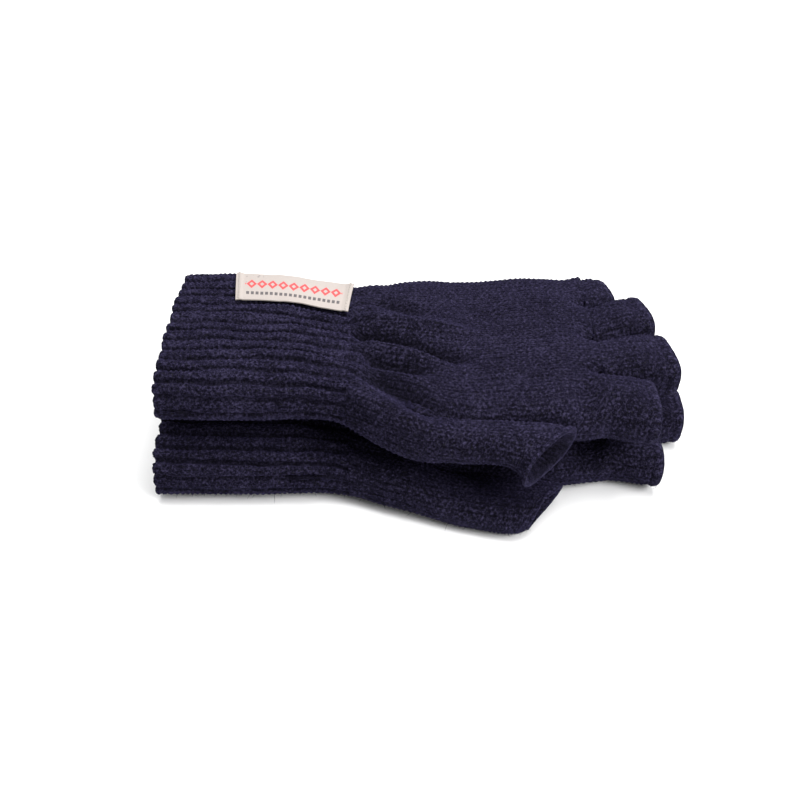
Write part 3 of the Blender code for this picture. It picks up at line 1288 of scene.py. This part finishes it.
@dataclass(frozen=True)
class Fuzz:
    """Loose fibres that stand off the knit: short bent hairs, each a thin closed tube.

    Attributes:
        lowest: The least height of the outward direction where hairs grow.
        highest: The greatest.
        cover: Where they don't show.
        spacing: How many faces of knit there are to a hair.
        longest: The longest hair, in millimetres.
        shortest: The shortest.
        radius: Half a hair's thickness.
        pale: The relief that their shade is read at.
        least_relief: How high on the yarn they grow.
        clearance: How far above the floor their ends stay.
        taper: How thin their ends are, as a share of the radius.
    """

    lowest: float
    highest: float
    cover: Cover
    spacing: float = 17.0
    longest: float = 3.2
    shortest: float = 1.2
    radius: float = 0.055
    pale: float = 0.9
    least_relief: float = 0.55
    clearance: float = 0.9
    taper: float = 0.4

    def places(self, mesh: bpy.types.Mesh, chance: np.random.Generator) -> Array:
        """Where hairs start, bend and end.

        Args:
            mesh: The knit piece's mesh.
            chance: Picks where they grow.

        Returns:
            For each hair, three points (x, y, z) in millimetres.
        """
        count = len(mesh.polygons)
        centres, normals = np.empty(count * 3), np.empty(count * 3)
        mesh.polygons.foreach_get("center", centres)
        mesh.polygons.foreach_get("normal", normals)
        centres, normals = centres.reshape(-1, 3) / MM, normals.reshape(-1, 3)
        first, corners = np.empty(count, dtype=np.int32), np.empty(len(mesh.loops), dtype=np.int32)
        mesh.polygons.foreach_get("loop_start", first)
        mesh.loops.foreach_get("vertex_index", corners)
        relief = np.empty(len(mesh.vertices), dtype=np.float32)
        mesh.attributes["relief"].data.foreach_get("value", relief)
        fit = relief[corners[first]] > self.least_relief
        fit &= (normals[:, 2] > self.lowest) & (normals[:, 2] < self.highest)
        fit &= (
            (centres[:, 1] < self.cover.near)
            | (centres[:, 0] < self.cover.start)
            | (centres[:, 0] > self.cover.end)
        )
        roots = np.flatnonzero(fit & (chance.random(count) < 1.0 / self.spacing))
        length = chance.uniform(self.shortest, self.longest, (len(roots), 1))
        length = length * chance.uniform(0.5, 1.0, (len(roots), 1)) * 0.55
        lean = unit(chance.normal(0.0, 1.0, (len(roots), 3)))
        start = centres[roots] - normals[roots] * 0.25
        middle = start + (normals[roots] * 0.75 + lean * 0.45) * length
        end = middle + (normals[roots] * 0.35 + lean * 0.85) * length
        clear = (end[:, 2] > self.clearance) & (middle[:, 2] > self.clearance - 0.3)
        return np.stack([start, middle, end], axis=1)[clear]

    def grow(self, knit: bpy.types.Object, seed: int) -> bpy.types.Object:
        """Grows hairs from the yarn of a knit piece.

        Args:
            knit: The knit piece.
            seed: Picks where they grow.

        Returns:
            All the hairs as one object.
        """
        strands = bpy.data.curves.new(knit.name, "CURVE")
        strands.dimensions = "3D"
        strands.bevel_depth = self.radius * MM
        strands.bevel_resolution = 0
        strands.use_fill_caps = True
        hairs = self.places(knit.data, np.random.default_rng(seed))
        for hair in hairs * MM:
            strand = strands.splines.new("POLY")
            strand.points.add(len(hair) - 1)
            strand.points.foreach_set("co", np.column_stack([hair, np.ones(len(hair))]).reshape(-1))
            strand.points[-1].radius = self.taper
        name = knit.name.replace("_knit", "_fuzz")
        shape = bpy.data.objects.new(name, strands)
        mesh = bpy.data.meshes.new_from_object(shape)
        bpy.data.objects.remove(shape)
        bpy.data.curves.remove(strands)
        shades = mesh.attributes.new("relief", "FLOAT", "POINT")
        shades.data.foreach_set("value", np.full(len(mesh.vertices), self.pale, dtype=np.float32))
        LOG.info("%s: %d hairs", name, len(hairs))
        return new_piece(name, mesh)


@dataclass(frozen=True)
class Reach:
    """Where a finger stall's end lies.

    Attributes:
        near: Its near side.
        far: Its far side.
        back: How far short of the frame's stall its far side ends.
        slant: How much further its near side reaches.
        rise: How far its end lifts.
        droop: How much sooner it ends at its underside.
    """

    near: float
    far: float
    back: float
    slant: float = 0.0
    rise: float = 0.0
    droop: float = 1.5


def finger_stalls(
    prefix: str, glove_roots: tuple[float, ...], base: float, swell: float, ends: tuple[Reach, ...]
) -> tuple[Stall, ...]:
    """The four finger stalls.

    Args:
        prefix: The glove's name in its nodes.
        glove_roots: Their sides at the knuckles.
        base: Their undersides' height.
        swell: How far the knit stands above the frame's stalls at the knuckles.
        ends: Where their ends lie.

    Returns:
        The stalls, from the index finger on.
    """
    stalls = []
    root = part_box(f"{prefix}_hand")[1].x / MM
    for number, (finger, end) in enumerate(zip(FINGERS, ends)):
        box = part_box(f"{prefix}_{finger}_finger")
        tip, top = box[1].x / MM - end.back, box[1].z / MM
        places = (root, (root + tip) / 2, tip)
        tops = (top + swell, top + 0.7 * swell + 0.7 * end.rise, top - 1.0 + end.rise)
        stalls.append(
            Stall(
                near=Course((root, tip), (glove_roots[number], end.near)),
                far=Course((root, tip), (glove_roots[number + 1], end.far)),
                bottom=Course(places, (base, base + 0.3 * end.rise, base + 0.3 + end.rise)),
                top=Course(places, tops),
                root=root,
                tip=tip,
                shorten=-end.slant,
                droop=end.droop,
            )
        )
    return tuple(stalls)


def lower_glove() -> Glove:
    """The glove that lies on the table, a little flattened by the other.

    Returns:
        The glove.
    """
    cuff, hand, finger, thumb = (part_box(f"lower_{part}") for part in SIZED_PARTS)
    mouth, wrist, root, knuckles = (value / MM for value in (cuff[0].x, hand[0].x, thumb[0].x, hand[1].x))
    near, far, thumb_near = cuff[0].y / MM, cuff[1].y / MM, thumb[0].y / MM
    hand_far, mouth_top, finger_top = hand[1].y / MM, cuff[1].z / MM, finger[1].z / MM
    hand_top = hand[1].z / MM
    roots = (-30.5, -13.0, 9.0, 32.0, 56.0)
    thumb_stall = Stall(
        near=Course(
            (root, root + 14, root + 28, root + 42),
            (thumb_near + 3.8, thumb_near + 0.6, thumb_near - 0.4, thumb_near + 3.5),
        ),
        far=Course((root, root + 42), (-36.0, -38.5)),
        bottom=Course((wrist, root, root + 40), (0.2, 0.3, 0.3)),
        top=Course((wrist, root, root + 40), (14.5, 13.6, 13.0)),
        root=root,
        tip=root + 40.0,
        shorten=12.0,
        droop=4.0,
    )
    return Glove(
        layer=Layer.LOWER,
        seed=210,
        near=Course(
            (mouth, mouth + 35, wrist, wrist + 12, wrist + 25, root),
            (near - 3.4, near - 3.4, near - 3.8, near - 8.4, near - 13.6, thumb_near + 3.8),
        ),
        parting=Course((wrist, wrist + 14, root, root + 22, knuckles), (-25.0, -32.0, -36.0, -36.0, -30.5)),
        far=Course(
            (mouth, wrist - 30, wrist, wrist + 22, root, knuckles - 20, knuckles),
            (far, far - 1.0, far - 3.5, hand_far - 6, hand_far - 1.5, hand_far - 1, hand_far - 3),
        ),
        bottom=Course((mouth, knuckles), (0.1, 0.1)),
        top=Course(
            (mouth, wrist - 25, wrist, wrist + 20, root, knuckles),
            (mouth_top - 0.4, mouth_top - 2.0, hand_top, hand_top - 1.0, hand_top - 1.5, finger_top),
        ),
        roots=roots,
        thumb=thumb_stall,
        fingers=finger_stalls(
            "lower",
            roots,
            0.15,
            0.0,
            (
                Reach(near=-34.5, far=-13.0, back=-0.6, droop=2.5),
                Reach(near=-6.0, far=14.0, back=1.5),
                Reach(near=14.5, far=36.5, back=1.5),
                Reach(near=36.5, far=58.0, back=1.5),
            ),
        ),
        folds=(
            Fold((wrist - 2, 20.0), (wrist + 28, 6.0), 3.0, -2.2),
            Fold((wrist - 2, -6.0), (wrist + 24, -18.0), 3.0, -2.2),
        ),
        puffiness=3.0,
        flatness=4.6,
        cuff_crown=3.4,
        cuff_roll=2.0,
        rim_room=-1.0,
    )


def upper_glove() -> Glove:
    """The glove on top, whose wrist gathers into the hand in a few deep pleats.

    Returns:
        The glove.
    """
    cuff, hand, finger, thumb = (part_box(f"upper_{part}") for part in SIZED_PARTS)
    mouth, wrist, root, knuckles = (value / MM for value in (cuff[0].x, hand[0].x, thumb[0].x, hand[1].x))
    near, far, thumb_near = cuff[0].y / MM, cuff[1].y / MM, thumb[0].y / MM
    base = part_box("lower_cuff")[1].z / MM + 0.6
    hand_far, mouth_top, finger_top = hand[1].y / MM, cuff[1].z / MM, finger[1].z / MM
    hand_base, hand_top = hand[0].z / MM, hand[1].z / MM
    roots = (-37.0, -14.0, 9.0, 32.0, 56.0)
    thumb_stall = Stall(
        near=Course(
            (root, root + 14, root + 29, root + 44),
            (thumb_near + 4.0, thumb_near + 2.5, thumb_near + 1.0, thumb_near - 1.5),
        ),
        far=Course((root, root + 14, root + 44), (-41.5, -42.0, -40.0)),
        bottom=Course(
            (wrist, root, root + 20, root + 32, root + 43),
            (hand_base + 2.0, hand_base + 5.2, hand_base + 6.0, hand_base + 3.0, hand_base - 1.5),
        ),
        top=Course(
            (wrist, root, root + 20, root + 40),
            (hand_top - 0.5, hand_base + 18.0, hand_base + 17.6, hand_base + 16.8),
        ),
        root=root,
        tip=root + 43.0,
        shorten=18.0,
        droop=5.5,
    )
    return Glove(
        layer=Layer.UPPER,
        seed=120,
        near=Course(
            (mouth, mouth + 35, wrist, wrist + 11, wrist + 23, root),
            (near, near + 0.3, near + 0.4, near - 6.0, near - 13.5, thumb_near + 4.0),
        ),
        parting=Course((wrist, wrist + 14, root, root + 22, knuckles), (-24.0, -32.5, -41.5, -41.0, -37.0)),
        far=Course(
            (mouth, wrist - 30, wrist + 2, wrist + 11, wrist + 22, root, knuckles - 20, knuckles),
            (far, far - 1.0, far - 1.5, far + 2.0, hand_far - 5.0, hand_far - 2.0, hand_far, hand_far - 0.5),
        ),
        bottom=Course((mouth, wrist, wrist + 25, knuckles), (base, base - 1.8, hand_base, hand_base + 0.2)),
        top=Course(
            (mouth, wrist - 25, wrist, wrist + 12, root, knuckles - 10, knuckles),
            (
                *(mouth_top - 1.6, mouth_top - 2.6, hand_top + 1.0, hand_top + 0.8),
                *(hand_top - 2.2, finger_top + 3.0, finger_top + 2.0),
            ),
        ),
        roots=roots,
        thumb=thumb_stall,
        fingers=finger_stalls(
            "upper",
            roots,
            hand_base + 0.2,
            2.0,
            (
                Reach(near=-42.0, far=-14.0, back=0.8, rise=0.8, droop=3.5),
                Reach(near=-12.0, far=15.0, back=7.5, slant=4.0, rise=2.0),
                Reach(near=16.5, far=41.0, back=6.0, slant=6.0, rise=4.0),
                Reach(near=38.5, far=59.0, back=6.5, slant=5.0, rise=1.0),
            ),
        ),
        folds=(
            Fold((wrist + 10, 29.0), (wrist + 28, 21.0), 4.0, -3.2, 6.0, 8.0),
            Fold((wrist + 3, 13.5), (wrist + 44, 10.0), 3.8, 2.8, 6.0, 12.0),
            Fold((wrist + 3, 4.5), (wrist + 41, -8.0), 3.6, -6.2, 4.0, 11.0),
            Fold((wrist + 5, -4.5), (wrist + 32, -11.5), 3.0, 2.6, 5.0, 9.0),
            Fold((wrist + 6, -13.0), (wrist + 28, -18.5), 3.0, -5.0, 4.0, 9.0),
            Fold((wrist + 7, -21.0), (wrist + 29, -40.0), 4.8, -4.6, 6.0, 9.0),
            Fold((wrist + 2, -31.0), (wrist + 30, -50.0), 4.5, 2.2, 8.0, 10.0),
        ),
        cuff_keel=2.0,
    )


# --------------------------------------------------------------------------------------------------
# The label
# --------------------------------------------------------------------------------------------------


@dataclass(frozen=True)
class Tape:
    """Woven label tape: an off-white ground with a row of lozenges and a row of dashes woven in.

    Attributes:
        name: The material's name.
        ground: The ground's shade.
        worn: Its shade where it is worn.
        weave: The tint between its threads.
        lozenge: The lozenges' shade.
        dash: The dashes' shade.
        lozenges: How many lozenges would fill the tape's length.
        dashes: How many dashes would fill it.
        threads: Threads along the tape and across it.
    """

    name: str = "label_cloth"
    ground: Colour = (0.51, 0.45, 0.42)
    worn: Colour = (0.46, 0.41, 0.37)
    weave: Colour = (0.30, 0.27, 0.25)
    lozenge: Colour = (0.72, 0.045, 0.055)
    dash: Colour = (0.045, 0.04, 0.05)
    lozenges: float = 11.0
    dashes: float = 24.0
    threads: tuple[float, float] = (150.0, 76.0)

    def make(self) -> bpy.types.Material:
        """Makes the material.

        Returns:
            The material.
        """
        nodes = Nodes(self.name)
        place = nodes.add("SeparateXYZ", {0: nodes.add("UVMap").outputs[0]})
        along, across = place.outputs[0], place.outputs[1]

        def off(value: Socket, middle: float, half: float) -> Socket:
            """Distance from a line, 1 at half its width."""
            return nodes.math("DIVIDE", nodes.math("ABSOLUTE", nodes.math("SUBTRACT", value, middle)), half)

        def saw(value: Socket, count: float) -> Socket:
            """Distance from the middle of each of a number of repeats, from 0 to 1."""
            return off(nodes.math("FRACT", nodes.math("MULTIPLY", value, count)), 0.5, 0.5)

        inside = nodes.math("LESS_THAN", off(along, 0.5, 0.42), 1.0)
        edge = nodes.math("ADD", saw(along, self.lozenges), off(across, 0.54, 0.15))
        hollow = nodes.math("GREATER_THAN", edge, 0.42)
        lozenges = nodes.math("MULTIPLY", nodes.math("LESS_THAN", edge, 1.0), inside)
        lozenges = nodes.math("MULTIPLY", lozenges, hollow)
        dashes = nodes.math("LESS_THAN", off(across, 0.25, 0.045), 1.0)
        dashes = nodes.math("MULTIPLY", dashes, nodes.math("LESS_THAN", saw(along, self.dashes), 0.62))
        dashes = nodes.math("MULTIPLY", dashes, inside)
        threads = nodes.math("MULTIPLY", saw(along, self.threads[0]), saw(across, self.threads[1]))
        slub = nodes.noise(900.0, 2.0, 0.6)
        worn = nodes.blend(nodes.math("MULTIPLY", slub, 0.35), self.ground, self.worn)
        colour = nodes.blend(nodes.math("MULTIPLY", lozenges, 0.92), worn, self.lozenge)
        colour = nodes.blend(nodes.math("MULTIPLY", dashes, 0.85), colour, self.dash)
        colour = nodes.blend(nodes.math("MULTIPLY", threads, 0.25), colour, self.weave, "MULTIPLY")
        bump = nodes.bump(threads, 0.6, 0.0003)
        return nodes.finish(colour, bump, Roughness=0.85, Specular_IOR_Level=0.3, Sheen_Weight=0.15)


@dataclass(frozen=True)
class Thread:
    """Sewing thread with a faint ply.

    Attributes:
        name: The material's name.
        shade: The thread's shade.
        twist: Its shade between the plies.
    """

    name: str = "label_thread"
    shade: Colour = (0.54, 0.50, 0.46)
    twist: Colour = (0.29, 0.26, 0.23)

    def make(self) -> bpy.types.Material:
        """Makes the material.

        Returns:
            The material.
        """
        nodes = Nodes(self.name)
        ply = nodes.noise(5200.0, 2.0, 0.6)
        colour = nodes.blend(nodes.math("MULTIPLY", ply, 0.6), self.shade, self.twist)
        return nodes.finish(colour, nodes.bump(ply, 0.5, 0.0002), Roughness=0.7)


@dataclass
class Label:
    """A folded tape that lies over the far shoulder of the upper cuff, sewn on at its two ends.

    Attributes:
        glove: The glove that it is sewn to.
        width: Its width, in millimetres.
        steps_along: Steps of mesh along it.
        steps_across: Steps of mesh across it.
        ride_height: How far above the smooth cuff it lies, on top of the ribs.
        thickness: The tape's thickness.
        fold: How long the turned-in ends are.
        stitches: Stitches in each of its two rows.
        inset: How far from its ends they are sewn.
        onward: How far toward the wrist it is moved from the frame's label.
        ease: How much longer it is at each end than the frame's label.
        drawn_in: How far its near edge is drawn in at each end.
        seed: Picks its waviness.
    """

    glove: Glove
    width: float = 24.5
    steps_along: int = 110
    steps_across: int = 56
    ride_height: float = 1.15
    thickness: float = 0.45
    fold: float = 2.6
    stitches: int = 11
    onward: float = 0.5
    ease: float = 1.2
    drawn_in: tuple[float, float] = (2.6, 1.6)
    inset: float = 1.3
    seed: int = 31

    def __post_init__(self) -> None:
        """Reads its ends from the frame and lays it over the cuff."""
        low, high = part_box("woven_label")
        self.start = low.x / MM + self.onward - self.ease
        self.end = high.x / MM + self.onward + self.ease
        self.lap_edge = low.y / MM + 0.6
        self.points, self.out = self.lay()

    def lay(self) -> tuple[Array, Array]:
        """Where its cloth lies.

        Returns:
            Its points, as rows along it and columns across it, and the directions out of it.
        """
        rows = []
        for x in np.linspace(self.start, self.end, self.steps_along + 1):
            ring = self.glove.even_ring(x, 160)
            half = len(ring) // 2
            line = np.concatenate([ring[:half], ring[half:][1:]])[:, 1:]
            length = np.concatenate([[0.0], np.cumsum(np.hypot(*np.diff(line, axis=0).T))])
            lower_edge = self.lap_edge - 1.8 * (x - self.start) / (self.end - self.start)
            begin = float(np.interp(lower_edge, line[: half - 12, 0], length[: half - 12]))
            travel = begin + np.linspace(0.0, self.width, self.steps_across + 1)
            y, z = (np.interp(travel, length, line[:, axis]) for axis in (0, 1))
            rows.append(row_at(x, np.column_stack([y, z])))
        points = np.array(rows)
        out = unit(np.cross(np.gradient(points, axis=0), np.gradient(points, axis=1)))
        share = np.linspace(0.0, 1.0, self.steps_along + 1)[:, None]
        across = np.linspace(0.0, 1.0, self.steps_across + 1)[None, :]
        millimetres = share * (self.end - self.start)
        wave = 0.22 * soft_noise(millimetres / 9.0, across * 2.2, self.seed)
        wave = wave + 0.10 * soft_noise(millimetres / 3.5, across * 5, self.seed + 1)
        flap = 0.9 * smoothstep(0.22, 0.0, across) * np.sin(np.pi * share) ** 0.7
        to_end = np.minimum(millimetres, millimetres[::-1])
        doubled = 0.30 * smoothstep(self.fold + 0.25, self.fold - 0.25, to_end)
        height = self.ride_height + wave + flap + doubled
        points[..., 0] += (self.drawn_in[0] * (1 - share) - self.drawn_in[1] * share) * (1 - across)
        return points + out * height[..., None], out

    def tape(self) -> bpy.types.Object:
        """The tape itself.

        Returns:
            The tape as an object.
        """
        work = bmesh.new()
        work.loops.layers.uv.new("UVMap")
        made = bmesh.ops.create_grid(
            work, x_segments=self.steps_across, y_segments=self.steps_along, size=1.0, calc_uvs=True
        )["verts"]
        for vert, place in zip(made, (self.points * MM).reshape(-1, 3)):
            vert.co = place
        uv = work.loops.layers.uv.active
        for face in work.faces:
            face.smooth = True
            for loop in face.loops:
                loop[uv].uv = loop[uv].uv.yx
        bmesh.ops.solidify(work, geom=work.faces[:], thickness=self.thickness * MM)
        bmesh.ops.recalc_face_normals(work, faces=work.faces[:])
        mesh = bpy.data.meshes.new("label_tape")
        work.to_mesh(mesh)
        work.free()
        mesh.set_sharp_from_angle(angle=math.radians(50))
        return new_piece("label_tape", mesh)

    def stitching(self, name: str, inset: float) -> bpy.types.Object:
        """A row of hand stitches across one end of the tape.

        Args:
            name: The piece's name.
            inset: How far from the tape's mouth end the row runs.

        Returns:
            The stitches as one object.
        """
        row = round(inset / (self.end - self.start) * self.steps_along)
        line, out = self.points[row], self.out[row]
        travel = np.linspace(0.0, 1.0, len(line))
        work = bmesh.new()

        def along(share: float, data: Array) -> Vector:
            """A point or a direction at a share of the way along the row."""
            return Vector([float(np.interp(share, travel, data[:, axis])) for axis in range(3)])

        for number in range(self.stitches):
            share = (number + 0.5) / self.stitches
            centre, up = along(share, line), along(share, out)
            run = (along(share + 0.02, line) - centre).normalized()
            side = run.cross(up).normalized()
            bead = bmesh.ops.create_uvsphere(work, u_segments=10, v_segments=8, radius=1.0)["verts"]
            slant = 0.12 * (1 if number % 2 else -1)
            for vert in bead:
                a, b, c = vert.co
                place = centre + up * (self.thickness * 0.15 + 0.22 + c * 0.24)
                vert.co = (place + run * (a * 0.78) + side * (b * 0.27 + a * slant)) * MM
        for face in work.faces:
            face.smooth = True
        bmesh.ops.recalc_face_normals(work, faces=work.faces[:])
        mesh = bpy.data.meshes.new(name)
        work.to_mesh(mesh)
        work.free()
        return new_piece(name, mesh)


# --------------------------------------------------------------------------------------------------
# The studio
# --------------------------------------------------------------------------------------------------


@dataclass(frozen=True)
class Lamp:
    """A soft round light that points at the gloves.

    Attributes:
        name: Its name.
        place: Where it hangs, in metres.
        size: Its diameter, in metres.
        power: Its power, in watts.
    """

    name: str
    place: tuple[float, float, float]
    size: float
    power: float


@dataclass
class Studio:
    """A pale floor, soft lights and the camera.

    Attributes:
        target: What the camera and the lights point at, in metres.
        shift_x: How far the camera stands to the side of it, in metres.
        distance: How far the camera stands from it, in metres.
        elevation: How high the camera looks from, in degrees.
        lens: Its focal length, in millimetres.
        lamps: The lights.
        surroundings: How bright the room is all round.
        floor_shade: The floor's shade of grey.
        floor_size: Half the floor's width, in metres.
    """

    target: Vector = field(default_factory=lambda: Vector((0.0, 0.0061, 0.0152)))
    shift_x: float = -0.0121
    distance: float = 0.446
    elevation: float = 36.0
    lens: float = 50.5
    lamps: tuple[Lamp, ...] = (
        Lamp("overhead softbox", (0.1, 0.15, 1.9), 1.6, 46.0),
        Lamp("right softbox", (1.4, -1.0, 1.3), 1.2, 46.0),
    )
    surroundings: float = 0.37
    floor_shade: float = 0.92
    floor_size: float = 4.0

    def floor(self) -> None:
        """The pale floor."""
        work = bmesh.new()
        bmesh.ops.create_grid(work, x_segments=1, y_segments=1, size=self.floor_size)
        mesh = bpy.data.meshes.new("floor")
        work.to_mesh(mesh)
        work.free()
        piece = new_piece("floor", mesh)
        nodes = Nodes("floor_paper")
        nodes.shader.inputs["Base Color"].default_value = (*[self.floor_shade] * 3, 1.0)
        nodes.shader.inputs["Roughness"].default_value = 0.9
        nodes.shader.inputs["Specular IOR Level"].default_value = 0.1
        mesh.materials.append(nodes.material)

    def light(self) -> None:
        """The soft lights and the bright surroundings."""
        for lamp in self.lamps:
            data = bpy.data.lights.new(lamp.name, "AREA")
            data.shape = "DISK"
            data.size = lamp.size
            data.energy = lamp.power
            thing = bpy.data.objects.new(lamp.name, data)
            thing.location = lamp.place
            direction = self.target - Vector(lamp.place)
            thing.rotation_euler = direction.to_track_quat("-Z", "Y").to_euler()
            bpy.context.scene.collection.objects.link(thing)
        world = bpy.data.worlds.new("bright room")
        world.use_nodes = True
        background = world.node_tree.nodes["Background"]
        background.inputs["Color"].default_value = (1.0, 1.0, 1.0, 1.0)
        background.inputs["Strength"].default_value = self.surroundings
        bpy.context.scene.world = world
        bpy.context.scene.view_settings.view_transform = "Standard"

    def camera(self) -> None:
        """The camera, above the near side of the gloves."""
        data = bpy.data.cameras.new("camera")
        data.lens = self.lens
        data.sensor_width = 36.0
        thing = bpy.data.objects.new("camera", data)
        angle = math.radians(self.elevation)
        away = Vector((0.0, -math.cos(angle), math.sin(angle))) * self.distance
        aim = self.target + Vector((self.shift_x, 0.0, 0.0))
        thing.location = aim + away
        thing.rotation_euler = (-away).to_track_quat("-Z", "Y").to_euler()
        bpy.context.scene.collection.objects.link(thing)
        bpy.context.scene.camera = thing


# --------------------------------------------------------------------------------------------------
# Assembly
# --------------------------------------------------------------------------------------------------


@dataclass
class Pair:
    """Both gloves and the label, dressed; each glove's hand and its fuzz are joined to its hand body.

    Attributes:
        wool: The wool that both gloves are knitted in.
        bend_length: How much of a cuff would bend at the wrist, in millimetres. It is not used.
        stall_bend: How much of a stall would bend at its root, in millimetres. It is not used.
    """

    wool: bpy.types.Material = field(default_factory=lambda: Wool().make())
    bend_length: float = 18.0
    stall_bend: float = 10.0

    def dress(self, piece: bpy.types.Object, material: bpy.types.Material) -> None:
        """Gives a piece its finish.

        Args:
            piece: The piece.
            material: Its finish.
        """
        piece.data.materials.clear()
        piece.data.materials.append(material)

    def across_wrist(self, piece: bpy.types.Object) -> None:
        """Applies a piece of the cuff's placement to its mesh.

        Args:
            piece: The piece.
        """
        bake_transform(piece)

    def add_glove(self, glove: Glove) -> None:
        """Makes one glove's pieces, hides the frame's parts that they replace and joins the hand and its
        fuzz to the hand's body.

        Args:
            glove: The glove.
        """
        hand, cuff = glove.hand(), glove.cuff()
        thumb_name = glove.node("thumb_knit")
        thumb = glove.stall(thumb_name, glove.thumb, glove.thumb_wales, 0.0, glove.thumb_end)
        stalls = [(thumb, "thumb", glove.thumb.root)]
        for number, (finger, part) in enumerate(zip(FINGERS, glove.fingers)):
            offset = glove.thumb_wales + number * glove.finger_wales
            name = glove.node(f"{finger}_finger_knit")
            stall = glove.stall(name, part, glove.finger_wales, offset, glove.finger_end)
            stalls.append((stall, f"{finger}_finger", part.root))
        for piece, part in [(hand, "hand"), (cuff, "cuff"), *((piece, part) for piece, part, _ in stalls)]:
            self.dress(piece, self.wool)
            crisp_cuts(piece.data)
            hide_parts(glove.node(part))
            LOG.info("%s: %d faces", piece.name, len(piece.data.polygons))
        for piece in (hand, self.fuzzed(hand, glove)):
            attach(piece, glove.node("hand"))
        for piece in (cuff, self.fuzzed(cuff, glove)):
            self.across_wrist(piece)
        for knit, part, root in stalls:
            for piece in (knit, self.fuzzed(knit, glove)):
                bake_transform(piece)

    def fuzzed(self, knit: bpy.types.Object, glove: Glove) -> bpy.types.Object:
        """Grows the fuzz of one knit piece, but not where the two gloves lie on each other.

        Args:
            knit: The knit piece.
            glove: The glove that it is part of.

        Returns:
            The fuzz as an object.
        """
        lowest, highest = (-0.35, 1.1) if glove.layer is Layer.UPPER else (-0.8, 0.55)
        low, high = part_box("woven_label")
        cover = Cover(low.y / MM - 4.0, low.x / MM - 5.0, high.x / MM + 6.0)
        hairs = Fuzz(lowest, highest, cover).grow(knit, glove.seed + len(knit.data.polygons))
        self.dress(hairs, self.wool)
        return hairs

    def add_label(self, glove: Glove) -> None:
        """Makes the label and its stitching.

        Args:
            glove: The glove that the label is sewn to.
        """
        label = Label(glove)
        tape = label.tape()
        thread = Thread().make()
        length = label.end - label.start
        rows = [
            (label.stitching("mouth_end_stitches", label.inset), "label_stitch_mouth_end"),
            (label.stitching("wrist_end_stitches", length - label.inset), "label_stitch_wrist_end"),
        ]
        self.dress(tape, Tape().make())
        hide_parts("woven_label")
        self.across_wrist(tape)
        for piece, node in rows:
            self.dress(piece, thread)
            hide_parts(node)
            self.across_wrist(piece)
        LOG.info("label: %.1f by %.1f mm", length, label.width)


def main() -> None:
    """Builds the studio, the two gloves and the label."""
    logging.basicConfig(level=logging.INFO, format="%(name)s: %(message)s")
    studio = Studio()
    studio.floor()
    studio.light()
    studio.camera()
    pair = Pair()
    lower, upper = lower_glove(), upper_glove()
    pair.add_glove(lower)
    pair.add_glove(upper)
    pair.add_label(upper)


if __name__ == "__main__":
    main()
